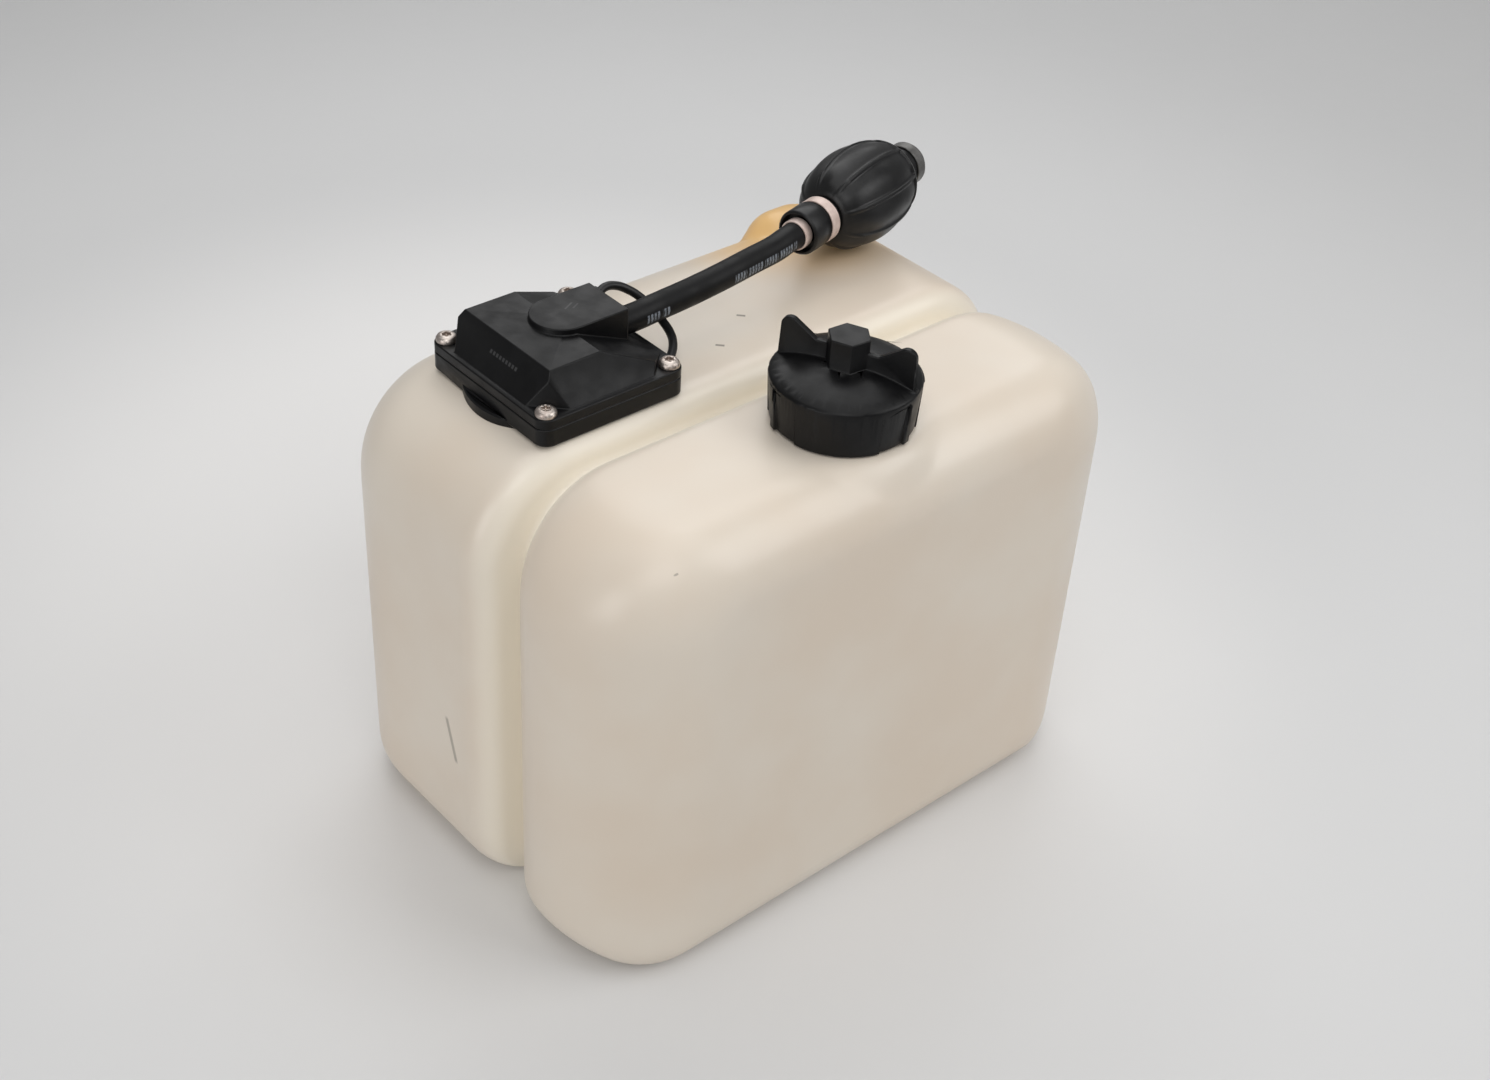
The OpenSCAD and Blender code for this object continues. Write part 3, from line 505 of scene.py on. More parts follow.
@dataclass(frozen=True)
class PrintedHose:
    """Black oil hose with a row of plain pale dashes along one side."""

    name: str = "hose_rubber"
    shade: Colour = tone(13, 13, 14)
    bloom: Colour = tone(24, 24, 25)
    ink: Colour = tone(128, 134, 142)
    height: float = 254.8 * MM
    climb: float = 0.043
    middle: float = 25.9 * MM
    drift: float = 0.07
    band: float = 2.3 * MM
    letter: float = 1.9 * MM
    letter_share: float = 0.64
    word: float = 10.4 * MM
    word_share: float = 0.86
    runs: tuple[tuple[float, float], ...] = ((-40 * MM, -27 * MM), (12 * MM, 54 * MM))

    def marks(self, graph: Graph) -> bpy.types.NodeSocket:
        """Mask the rows of dashes on the side that faces the filler.

        Args:
            graph: The material's nodes.

        Returns:
            A mask of the dashes.
        """
        x, y, z = graph.axes()
        level = graph.sum("SUBTRACT", graph.sum("SUBTRACT", z, self.height), graph.sum("MULTIPLY", x, self.climb))
        row = graph.span(graph.sum("ABSOLUTE", level), self.band, self.band * 0.75)
        axis = graph.sum("ADD", graph.sum("MULTIPLY", x, self.drift), self.middle)
        side = graph.sum("LESS_THAN", y, axis)
        dashes = graph.sum("MULTIPLY", graph.comb(x, self.letter, self.letter_share),
                           graph.comb(x, self.word, self.word_share))
        printed = None
        for start, end in self.runs:
            run = graph.sum("MULTIPLY", graph.sum("GREATER_THAN", x, start), graph.sum("LESS_THAN", x, end))
            printed = run if printed is None else graph.sum("MAXIMUM", printed, run)
        return graph.sum("MULTIPLY", graph.sum("MULTIPLY", row, side), graph.sum("MULTIPLY", dashes, printed))

    def material(self) -> bpy.types.Material:
        """Build the material.

        Returns:
            The material.
        """
        graph = Graph(self.name)
        mask = self.marks(graph)
        faded = graph.span(graph.noise(900.0, 3.0), 0.35, 0.6, 0.35, 0.95)
        bloom = graph.span(graph.noise(50.0, 6.0, 0.65), 0.45, 0.75, 0.0, 0.7)
        base = graph.blend(bloom, self.shade, self.bloom)
        graph.set(Base_Color=graph.blend(graph.sum("MULTIPLY", mask, faded), base, self.ink),
                  Roughness=graph.mottle(90.0, 4.0, 0.4, 0.58), Specular_IOR_Level=0.2)
        graph.set(Normal=graph.bump(graph.noise(520.0, 3.0), 0.06 * MM, 0.6))
        return graph.material


@dataclass(frozen=True)
class BrushedMetal:
    """Metal with fine turning or drawing marks and a few dull patches."""

    name: str
    shade: Colour
    dull: Colour
    roughness: float
    metallic: float = 1.0

    def material(self) -> bpy.types.Material:
        """Build the material.

        Returns:
            The material.
        """
        graph = Graph(self.name)
        patches = graph.span(graph.noise(160.0, 5.0, 0.6), 0.4, 0.7)
        graph.set(Base_Color=graph.blend(patches, self.shade, self.dull), Metallic=self.metallic,
                  Roughness=graph.mottle(1400.0, 2.0, self.roughness - 0.06, self.roughness + 0.1))
        marks = graph.noise(300.0, 3.0, 0.6, (1.0, 1.0, 14.0))
        graph.set(Normal=graph.bump(marks, 0.03 * MM, 0.5))
        return graph.material


@dataclass(frozen=True)
class PlainPlastic:
    """Smooth moulded plastic of the pieces inside."""

    name: str
    shade: Colour
    shadow: Colour
    roughness: float = 0.42

    def material(self) -> bpy.types.Material:
        """Build the material.

        Returns:
            The material.
        """
        graph = Graph(self.name)
        stain = graph.span(graph.noise(70.0, 4.0), 0.35, 0.75)
        graph.set(Base_Color=graph.blend(stain, self.shade, self.shadow),
                  Roughness=graph.mottle(220.0, 3.0, self.roughness - 0.05, self.roughness + 0.08))
        graph.set(Normal=graph.bump(graph.noise(600.0, 2.0), 0.03 * MM, 0.5))
        return graph.material


@dataclass(frozen=True)
class CellFoam:
    """Closed-cell foam of the level float."""

    name: str = "float_foam"
    shade: Colour = tone(150, 112, 78)
    pores: Colour = tone(104, 74, 48)

    def material(self) -> bpy.types.Material:
        """Build the material.

        Returns:
            The material.
        """
        graph = Graph(self.name)
        cell = graph.span(graph.cells(900.0), 0.1, 0.6)
        graph.set(Base_Color=graph.blend(cell, self.pores, self.shade),
                  Roughness=graph.mottle(200.0, 3.0, 0.7, 0.9))
        graph.set(Normal=graph.bump(cell, 0.15 * MM, 0.7))
        return graph.material


@dataclass(frozen=True)
class SealedGlass:
    """Greenish glass of the reed switch."""

    name: str = "switch_glass"
    shade: Colour = tone(196, 222, 214)
    cloud: Colour = tone(168, 200, 190)

    def material(self) -> bpy.types.Material:
        """Build the material.

        Returns:
            The material.
        """
        graph = Graph(self.name)
        graph.set(Base_Color=graph.blend(graph.noise(200.0, 3.0), self.shade, self.cloud), IOR=1.5,
                  Transmission_Weight=0.8, Roughness=graph.mottle(300.0, 3.0, 0.04, 0.12))
        graph.set(Normal=graph.bump(graph.noise(300.0, 2.0), 0.02 * MM, 0.4))
        return graph.material


class Finishes:
    """The finishes of the part, each built once."""

    def __init__(self) -> None:
        """Build every material by its slot."""
        makers = {
            Slot.TANK: MilkyPolyethylene(),
            Slot.BLACK: GrainedPlastic("black_plastic", tone(12, 12, 13), tone(24, 24, 25), 0.36),
            Slot.DARK: PlainPlastic("dark_plastic", tone(48, 48, 49), tone(36, 36, 37)),
            Slot.PALE: PlainPlastic("pale_plastic", tone(226, 222, 211), tone(212, 204, 186)),
            Slot.FOAM: CellFoam(),
            Slot.GASKET: MouldedRubber("black_rubber", tone(28, 28, 29), tone(44, 44, 45), 0.6),
            Slot.HOSE: PrintedHose(),
            Slot.BULB: MouldedRubber("bulb_rubber", tone(11, 11, 12), tone(24, 24, 25), 0.37),
            Slot.LEAD: MouldedRubber("lead_sheath", tone(20, 20, 21), tone(36, 36, 37), 0.42),
            Slot.STEEL: BrushedMetal("stainless_steel", tone(206, 196, 188), tone(168, 154, 146), 0.36),
            Slot.BAND: BrushedMetal("pale_band", tone(226, 206, 197), tone(206, 184, 174), 0.42, 0.25),
            Slot.DARK_BAND: BrushedMetal("dark_band", tone(112, 111, 109), tone(84, 83, 82), 0.4, 0.4),
            Slot.BRASS: BrushedMetal("brass", tone(214, 182, 112), tone(178, 142, 82), 0.3),
            Slot.GLASS: SealedGlass(),
        }
        self.made = {slot: maker.material() for slot, maker in makers.items()}

    def of(self, slot: Slot) -> bpy.types.Material:
        """Return the material of a slot."""
        return self.made[slot]


@dataclass
class Workshop:
    """Turns meshes and curves into named pieces that ride on a body."""

    finishes: Finishes
    made: list[bpy.types.Object] = field(default_factory=list)

    def place(self, name: str, data: bpy.types.ID, slot: Slot, body: Body,
              stands_for: Iterable[str] = ()) -> bpy.types.Object:
        """Make a piece from mesh or curve data.

        Args:
            name: The piece's name.
            data: Its mesh or curve.
            slot: Its material slot.
            body: The body that it rides on.
            stands_for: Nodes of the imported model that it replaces.

        Returns:
            The new object.
        """
        piece = bpy.data.objects.new(name, data)
        bpy.context.scene.collection.objects.link(piece)
        data.materials.append(self.finishes.of(slot))
        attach(piece, body.value)
        nodes = tuple(stands_for)
        if nodes:
            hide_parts(*nodes)
        self.made.append(piece)
        return piece

    def mesh(self, name: str, form: bmesh.types.BMesh, crease: float = 35.0) -> bpy.types.Mesh:
        """Turn a bmesh into a smooth-shaded mesh with sharp creases.

        Args:
            name: The mesh's name.
            form: The bmesh, which is freed.
            crease: Angle in degrees past which an edge stays sharp.

        Returns:
            The mesh.
        """
        data = bpy.data.meshes.new(name)
        form.to_mesh(data)
        form.free()
        data.shade_smooth()
        data.set_sharp_from_angle(angle=math.radians(crease))
        return data

    def softened(self, name: str, node: str, slot: Slot, body: Body, edge: float,
                 merge: float = MERGE) -> bpy.types.Object:
        """Copy a node's solid with its edges rounded, and stand the copy in its place.

        Args:
            name: The piece's name.
            node: The node.
            slot: Its material slot.
            body: The body that it rides on.
            edge: Radius of the rounded edges.
            merge: Distance within which corners are joined first.

        Returns:
            The new object.
        """
        form = bmesh.new()
        form.from_mesh(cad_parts[node].data)
        bmesh.ops.remove_doubles(form, verts=form.verts, dist=merge)
        bmesh.ops.dissolve_limit(form, angle_limit=FLAT_ANGLE, use_dissolve_boundaries=False,
                                 verts=form.verts, edges=form.edges)
        piece = self.place(name, self.mesh(name, form), slot, body, (node,))
        rounding = piece.modifiers.new("edges", "BEVEL")
        rounding.width = edge
        rounding.segments = EDGE_SEGMENTS
        rounding.profile = 0.5
        rounding.limit_method = "ANGLE"
        rounding.angle_limit = EDGE_ANGLE
        rounding.use_clamp_overlap = False
        return piece

    def keep(self, slot: Slot, *nodes: str) -> None:
        """Give nodes that keep their solids a finish.

        Args:
            slot: The finish's slot.
            nodes: The nodes.
        """
        for node in nodes:
            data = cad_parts[node].data
            data.materials.clear()
            data.materials.append(self.finishes.of(slot))


@dataclass(frozen=True)
class Lamp:
    """A soft square lamp that faces the tank."""

    name: str
    at: Point
    side: float
    power: float


@dataclass
class Studio:
    """Camera at the photograph's angle, soft light and a pale floor."""

    lens: float = 48.96
    sensor: float = 36.0
    stand: Point = (-522.8 * MM, -570.4 * MM, 703.9 * MM)
    yaw: float = 47.0
    pitch: float = 36.663
    roll: float = -3.825
    floor_half: float = 4.0
    # Painted light: the floor's three tones make a painted pool of light round the tank that greys further out,
    # standing in for the lamps' falloff and lightening the tank's shadow.
    floor_near: Colour = tone(233, 232, 231)
    floor_mid: Colour = tone(211, 211, 211)
    floor_far: Colour = tone(199, 199, 199)
    light_pool_at: Point = (0.03, 0.20, 0.0)
    light_pool_span: tuple[float, float] = (0.2, 0.48)
    light_falloff_span: tuple[float, float] = (0.5, 0.95)
    sky: float = 0.25
    aim: Point = (0.0, 0.0, 0.15)
    lamps: tuple[Lamp, ...] = (
        Lamp("back", (0.8, 0.95, 1.45), 1.4, 9.6),
        Lamp("top", (0.0, 0.1, 2.2), 1.8, 11.2),
        Lamp("near", (0.85, -1.05, 1.25), 1.2, 10.3),
        Lamp("side", (-1.7, -0.35, 0.6), 0.9, 6.6),
        Lamp("fill", (-0.9, -1.1, 1.7), 1.2, 9.4),
    )

    def camera(self) -> bpy.types.Object:
        """Set the camera where the photograph was taken.

        Returns:
            The camera.
        """
        yaw, pitch, roll = (math.radians(a) for a in (self.yaw, self.pitch, self.roll))
        forward = Vector((math.cos(pitch) * math.cos(yaw), math.cos(pitch) * math.sin(yaw), -math.sin(pitch)))
        level = Vector((math.sin(yaw), -math.cos(yaw), 0.0))
        down = forward.cross(level)
        right = level * math.cos(roll) + down * math.sin(roll)
        below = forward.cross(right)
        data = bpy.data.cameras.new("camera")
        data.lens = self.lens
        data.sensor_width = self.sensor
        data.sensor_fit = "HORIZONTAL"
        data.clip_start, data.clip_end = 0.05, 20.0
        camera = bpy.data.objects.new("camera", data)
        turned = Matrix((right, -below, -forward)).transposed().to_4x4()
        camera.matrix_world = Matrix.Translation(self.stand) @ turned
        bpy.context.scene.collection.objects.link(camera)
        bpy.context.scene.camera = camera
        return camera

    def hang(self, lamp: Lamp) -> None:
        """Hang a lamp and turn it to the tank.

        Args:
            lamp: The lamp.
        """
        data = bpy.data.lights.new(lamp.name, "AREA")
        data.shape = "SQUARE"
        data.size = lamp.side
        data.energy = lamp.power
        hung = bpy.data.objects.new(lamp.name, data)
        facing = (Vector(self.aim) - Vector(lamp.at)).to_track_quat("-Z", "Y")
        hung.matrix_world = Matrix.Translation(lamp.at) @ facing.to_matrix().to_4x4()
        bpy.context.scene.collection.objects.link(hung)

    def floor(self) -> bpy.types.Object:
        """Lay the pale floor with a painted pool of light: paler near the tank and greyer away from it.

        Returns:
            The floor.
        """
        form = bmesh.new()
        bmesh.ops.create_grid(form, x_segments=8, y_segments=8, size=self.floor_half)
        data = bpy.data.meshes.new("floor")
        form.to_mesh(data)
        form.free()
        graph = Graph("floor_paper")
        # Painted pool of light and falloff: paler near the tank, greyer further out.
        far = graph.vector("DISTANCE", graph.coords, self.light_pool_at, "Value")
        painted_pool = graph.blend(graph.span(far, *self.light_pool_span), self.floor_near, self.floor_mid)
        graph.set(Base_Color=graph.blend(graph.span(far, *self.light_falloff_span), painted_pool, self.floor_far),
                  Roughness=graph.mottle(30.0, 2.0, 0.5, 0.6), Specular_IOR_Level=0.25)
        graph.set(Normal=graph.bump(graph.noise(400.0, 2.0), 0.02 * MM, 0.3))
        data.materials.append(graph.material)
        floor = bpy.data.objects.new("floor", data)
        bpy.context.scene.collection.objects.link(floor)
        return floor

    def light(self) -> None:
        """Light the tank evenly from above and from the camera's side."""
        world = bpy.data.worlds.new("studio")
        world.use_nodes = True
        sky = next(n for n in world.node_tree.nodes if n.type == "BACKGROUND")
        sky.inputs["Color"].default_value = (1.0, 1.0, 1.0, 1.0)
        sky.inputs["Strength"].default_value = self.sky
        bpy.context.scene.world = world
        for lamp in self.lamps:
            self.hang(lamp)
        bpy.context.scene.view_settings.view_transform = "Standard"


@dataclass
class Cord:
    """A hose or a lead on a smooth line through its route's points."""

    name: str
    route: tuple[Point, ...]
    radius: float
    node: str
    slot: Slot
    far_end: str
    stiffness: str
    lay: str

    def curve(self) -> bpy.types.Curve:
        """Draw the line with its round section.

        Returns:
            The curve.
        """
        data = bpy.data.curves.new(self.name, "CURVE")
        data.dimensions = "3D"
        data.bevel_depth = self.radius
        data.bevel_resolution = 7
        data.resolution_u = 10
        data.use_fill_caps = True
        line = data.splines.new("BEZIER")
        line.bezier_points.add(len(self.route) - 1)
        for knot, spot in zip(line.bezier_points, self.route):
            knot.co = Vector(spot) * MM
            knot.handle_left_type = knot.handle_right_type = "AUTO"
        return data

    def length(self, piece: bpy.types.Object) -> float:
        """Measure the line from end to end."""
        return piece.data.splines[0].calc_length()

    def build(self, shop: Workshop, with_pieces: Sequence[bpy.types.Object] = ()) -> bpy.types.Object:
        """Args:
            shop: Where pieces are made.
            with_pieces: Not used.

        Returns:
            The cord's object.
        """
        piece = shop.place(self.name, self.curve(), self.slot, Body.TANK, (self.node,))
        self.length(piece)
        return piece


def oil_hose() -> Cord:
    """Describe the hose from the elbow to the primer bulb."""
    route = ((-67, 24.5, 253), (-52, 24.5, 253), (-41.5, 24.5, 253), (-30.64, 24.79, 253.47),
             (-11.28, 25.19, 254.33), (8.09, 26.48, 255.2), (27.45, 28.37, 256.17), (44.81, 30.67, 256.53),
             (51.87, 32.26, 257), (66.43, 35.89, 257))
    return Cord("oil_hose", route, 6.35 * MM, "outlet_hose", Slot.HOSE, "fitting", "stiff", "taut")


def level_lead() -> Cord:
    """Describe the sensor's lead, which loops out of the hood and back into the base's side."""
    route = ((-55.2, 40.7, 259.5), (-50.5, 40.7, 259.5), (-45, 42.2, 260.3), (-39, 42.2, 259), (-33.5, 40.3, 256),
             (-29, 37, 252), (-26, 32.5, 247.5), (-24.5, 27, 243.5), (-25, 20.5, 240.3), (-28, 15, 238.6),
             (-32.5, 10.5, 237.4), (-37, 7.4, 236.6), (-41.5, 6.2, 236.25), (-47, 6.2, 236.25))
    return Cord("level_lead", route, 2 * MM, "sensor_lead", Slot.LEAD, "object", "limp", "loose")


@dataclass
class TankShell:
    """The moulded tank: a loft of rounded sections across its width, pinched by the strap channel."""

    length: float = 310 * MM
    width: float = 224 * MM
    height: float = 232 * MM
    side_r: float = 54 * MM
    end_top_r: float = 50 * MM
    near_top_r: float = 30 * MM
    far_top_r: float = 50 * MM
    end_foot_r: float = 30 * MM
    side_foot_r: float = 24 * MM
    least_r: float = 8 * MM
    corner_share: float = 0.6
    floor_near: float = -25 * MM
    floor_far: float = -18 * MM
    top_depth: float = 14 * MM
    end_depth: float = 24 * MM
    near_top_lip: float = 9 * MM
    far_top_lip: float = 11 * MM
    near_end_lip: float = 32 * MM
    far_end_lip: float = 14 * MM
    lip_ramp: float = 2 * MM
    ridge_from: float = 98 * MM
    ridge_to: float = 106 * MM
    ridge_y: float = 82 * MM
    ridge_z: float = 216.5 * MM
    ridge_r: float = 20 * MM
    ridge_blend: float = 5 * MM
    ridge_slope: float = 2.5
    neck: tuple[float, float] = (0.0, -65 * MM)
    neck_hole: float = 25 * MM
    seat_r: float = 31 * MM
    seat_blend: float = 13 * MM
    seat_from: float = -61 * MM
    seat_to: float = -45 * MM
    port: tuple[float, float] = (-82.7 * MM, 30.5 * MM)
    port_hole: float = 31 * MM
    smoothings: int = 3
    measures: int = 4000
    stations: int = 170
    top_steps: int = 92
    top_corner_steps: int = 18
    end_steps: int = 34
    foot_corner_steps: int = 12
    foot_steps: int = 24

    @staticmethod
    def round_in(past: float, radius: float) -> float:
        """Work out the inset of a round.

        Args:
            past: Distance past the round's start.
            radius: The round's radius.

        Returns:
            The inset there.
        """
        if past <= 0:
            return 0.0
        return radius if past >= radius else radius - math.sqrt(radius * radius - past * past)

    def lip_reach(self, radius: float, depth: float) -> float:
        """Work out how far a lip reaches before the channel's floor.

        Args:
            radius: The lip's radius.
            depth: The channel's depth.

        Returns:
            The lip's reach.
        """
        if radius >= depth:
            return math.sqrt(radius * radius - (radius - depth) ** 2)
        return radius + self.lip_ramp

    def lip_in(self, past: float, radius: float, depth: float) -> float:
        """Work out the inset of a channel's lip.

        Args:
            past: Distance past the lip's start.
            radius: The lip's radius.
            depth: The channel's depth.

        Returns:
            The inset there.
        """
        if past >= self.lip_reach(radius, depth):
            return depth
        if past < radius:
            return min(depth, self.round_in(past, radius))
        return radius + (depth - radius) * (past - radius) / self.lip_ramp

    def channel_in(self, y: float, near_lip: float, far_lip: float, depth: float) -> float:
        """Work out the channel's inset.

        Args:
            y: Place across the tank.
            near_lip: Radius of the lip on the filler's side.
            far_lip: Radius of the lip on the cover's side.
            depth: The channel's depth.

        Returns:
            The inset there.
        """
        near = self.floor_near - self.lip_reach(near_lip, depth)
        far = self.floor_far + self.lip_reach(far_lip, depth)
        return min(self.lip_in(y - near, near_lip, depth), self.lip_in(far - y, far_lip, depth))

    def end_in(self, y: float) -> float:
        """Return the inset of both ends at a place across the tank."""
        half = self.width / 2
        return max(self.round_in(abs(y) - half + self.side_r, self.side_r),
                   self.channel_in(y, self.near_end_lip, self.far_end_lip, self.end_depth))

    def top_in(self, y: float) -> float:
        """Work out the inset of the top.

        Args:
            y: Place across the tank.

        Returns:
            The inset there.
        """
        half = self.width / 2
        edge = self.near_top_r if y < 0 else self.far_top_r
        return max(self.round_in(abs(y) - half + edge, edge),
                   self.channel_in(y, self.near_top_lip, self.far_top_lip, self.top_depth))

    def foot_in(self, y: float) -> float:
        """Return the inset of the foot at a place across the tank."""
        return self.round_in(abs(y) - self.width / 2 + self.side_foot_r, self.side_foot_r)

    def outline(self, y: float) -> list[Vector]:
        """Draw the rounded section at a place across the tank.

        Args:
            y: The place.

        Returns:
            Points from the middle of the foot round by the +X end and back.
        """
        inset = self.end_in(y)
        half, top, foot = self.length / 2 - inset, self.height - self.top_in(y), self.foot_in(y)
        high = max(self.least_r, self.end_top_r - self.corner_share * inset)
        low = max(self.least_r, self.end_foot_r - self.corner_share * inset)
        side: list[tuple[float, float]] = []
        steps = self.foot_steps // 2
        side += [((half - low) * i / steps, foot) for i in range(steps)]
        for i in range(self.foot_corner_steps):
            a = math.pi / 2 * i / self.foot_corner_steps
            side.append((half - low + low * math.sin(a), foot + low - low * math.cos(a)))
        for i in range(self.end_steps):
            side.append((half, foot + low + (top - high - foot - low) * i / self.end_steps))
        for i in range(self.top_corner_steps):
            a = math.pi / 2 * i / self.top_corner_steps
            side.append((half - high + high * math.cos(a), top - high + high * math.sin(a)))
        steps = self.top_steps // 2
        side += [((half - high) * (1 - i / steps), top) for i in range(steps + 1)]
        back = [(-x, z) for x, z in reversed(side[:-1])]
        return [Vector((x, y, z)) for x, z in side + back]

    def places(self) -> list[float]:
        """Spread the sections evenly along the skin across the tank.

        Returns:
            The sections' places.
        """
        count = self.measures
        line = [-self.width / 2 + self.width * i / count for i in range(count + 1)]
        run = [0.0]
        for a, b in zip(line, line[1:]):
            run.append(run[-1] + math.sqrt((b - a) ** 2 + (self.end_in(b) - self.end_in(a)) ** 2
                                           + (self.top_in(b) - self.top_in(a)) ** 2))
        wanted, spots, k = [run[-1] * i / self.stations for i in range(self.stations + 1)], [], 0
        for distance in wanted:
            while k < count and run[k + 1] < distance:
                k += 1
            spots.append(line[min(k + 1, count)] if distance else line[0])
        return spots

    def raised(self, spot: Vector) -> float:
        """Blend the hump into the top.

        Args:
            spot: A point of the skin.

        Returns:
            The point's height.
        """
        along = min(max(spot.x, self.ridge_from), self.ridge_to)
        away = math.hypot(spot.x - along, spot.y - self.ridge_y)
        if spot.z < self.height - self.end_top_r or away > 2 * self.ridge_r:
            return spot.z
        turn = self.ridge_r * self.ridge_slope / math.hypot(1.0, self.ridge_slope)
        if away < turn:
            crest = self.ridge_z + math.sqrt(self.ridge_r ** 2 - away ** 2)
        else:
            crest = self.ridge_z + math.sqrt(self.ridge_r ** 2 - turn ** 2) - self.ridge_slope * (away - turn)
        near = max(self.ridge_blend - abs(crest - spot.z), 0.0) / self.ridge_blend
        return max(crest, spot.z) + near * near * self.ridge_blend / 4

    def seated(self, spot: Vector) -> float:
        """Blend the neck's round seat into the near edge.

        Args:
            spot: A point of the skin.

        Returns:
            The point's height.
        """
        away = math.hypot(spot.x - self.neck[0], spot.y - self.neck[1]) - self.seat_r
        if spot.z < self.height - self.near_top_r or away > self.seat_blend:
            return spot.z
        share = smooth_step(1 - max(away, 0.0) / self.seat_blend)
        share *= smooth_step((self.seat_to - spot.y) / (self.seat_to - self.seat_from))
        return spot.z + (self.height - spot.z) * share

    def form(self) -> bmesh.types.BMesh:
        """Wrap a grid round the sections and close it.

        Returns:
            The tank's skin.
        """
        form = bmesh.new()
        around = len(self.outline(0.0)) - 1
        bmesh.ops.create_grid(form, x_segments=around, y_segments=self.stations, size=1.0)
        rows = [self.outline(y) for y in self.places()]
        for vert in form.verts:
            i = round((vert.co.x + 1) / 2 * around)
            j = round((vert.co.y + 1) / 2 * self.stations)
            vert.co = rows[j][i]
        bmesh.ops.remove_doubles(form, verts=form.verts, dist=MERGE)
        for _ in range(self.smoothings):
            bmesh.ops.smooth_vert(form, verts=form.verts, factor=0.5, use_axis_x=True, use_axis_y=True,
                                  use_axis_z=True)
        for vert in form.verts:
            vert.co.z = self.seated(vert.co)
            vert.co.z = self.raised(vert.co)
        bmesh.ops.holes_fill(form, edges=[e for e in form.edges if e.is_boundary], sides=0)
        bmesh.ops.recalc_face_normals(form, faces=form.faces)
        self.open_hole(form, self.neck, self.neck_hole)
        self.open_hole(form, self.port, self.port_hole)
        return form

    def open_hole(self, form: bmesh.types.BMesh, middle: tuple[float, float], radius: float) -> None:
        """Cut the top away inside a circle.

        Args:
            form: The tank's skin.
            middle: The circle's middle.
            radius: The circle's radius.
        """
        level = self.height - 2 * self.top_depth

        def inside(face: bmesh.types.BMFace) -> bool:
            """Tell whether a face of the top lies in the circle."""
            spot = face.calc_center_median()
            return face.normal.z > 0.5 and spot.z > level and math.dist(spot.xy, middle) < radius

        bmesh.ops.delete(form, geom=[f for f in form.faces if inside(f)], context="FACES")

    def build(self, shop: Workshop) -> bpy.types.Object:
        """Make the tank's skin."""
        skin = shop.mesh("tank_shell", self.form(), 60.0)
        return shop.place("tank_shell", skin, Slot.TANK, Body.TANK, ("tank",))


@dataclass
class FillerNeck:
    """The threaded neck on its round seat."""

    centre: tuple[float, float] = (0.0, -65 * MM)
    bore: float = 22.5 * MM
    outside: float = 26.5 * MM
    seat_top: float = 232 * MM
    foot: float = 222 * MM
    fillet: float = 0.8 * MM
    top: float = 249 * MM
    lip: float = 0.8 * MM
    thread_from: float = 238 * MM
    thread_lead: float = 6 * MM
    thread_turns: float = 1.5
    thread_out: float = 1.5 * MM
    thread_half: float = 1.3 * MM
    thread_flat: float = 0.3 * MM
    thread_root: float = 0.3 * MM
    steps: int = 96

    def wall(self) -> list[Point]:
        """List the turned section from the seat up and down into the bore.

        Returns:
            The section's points.
        """
        line = [(self.outside + self.fillet, self.seat_top - self.fillet / 2),
                (self.outside, self.seat_top + self.fillet),
                (self.outside, self.top - self.lip), (self.outside - self.lip, self.top),
                (self.bore + self.lip, self.top), (self.bore, self.top - self.lip), (self.bore, self.foot)]
        return [(r, 0.0, z) for r, z in line]

    def build(self, shop: Workshop) -> bpy.types.Object:
        """Turn the neck and wind its thread.

        Args:
            shop: Where pieces are made.

        Returns:
            The neck.
        """
        form = bmesh.new()
        spots = [form.verts.new(p) for p in self.wall()]
        edges = [form.edges.new(pair) for pair in zip(spots, spots[1:])]
        bmesh.ops.spin(form, geom=spots + edges, cent=(0, 0, 0), axis=(0, 0, 1), angle=math.tau, steps=self.steps,
                       use_merge=True)
        bmesh.ops.remove_doubles(form, verts=form.verts, dist=MERGE)
        turn_outwards(form, (0.0, 0.0, 1.0))
        wall = set(form.faces)
        root, crest = self.outside - self.thread_root, self.outside + self.thread_out
        tooth = [(root, -self.thread_half), (crest, -self.thread_flat), (crest, self.thread_flat),
                 (root, self.thread_half)]
        ring = [form.verts.new((r, 0.0, self.thread_from + z)) for r, z in tooth]
        loop = [form.edges.new((ring[i], ring[(i + 1) % 4])) for i in range(4)]
        turns = round(self.steps * self.thread_turns)
        wound = bmesh.ops.spin(form, geom=ring + loop, cent=(0, 0, 0), axis=(0, 0, 1),
                               dvec=(0, 0, self.thread_lead / self.steps), angle=math.tau * self.thread_turns,
                               steps=turns, use_merge=False)
        ends = [v for v in wound["geom_last"] if isinstance(v, bmesh.types.BMVert)]
        form.faces.new(ring)
        form.faces.new(list(reversed(ends)))
        thread = [f for f in form.faces if f not in wall]
        bmesh.ops.recalc_face_normals(form, faces=thread)
        bmesh.ops.translate(form, verts=form.verts, vec=(*self.centre, 0.0))
        return shop.place("filler_neck", shop.mesh("filler_neck", form), Slot.TANK, Body.TANK, ("tank",))


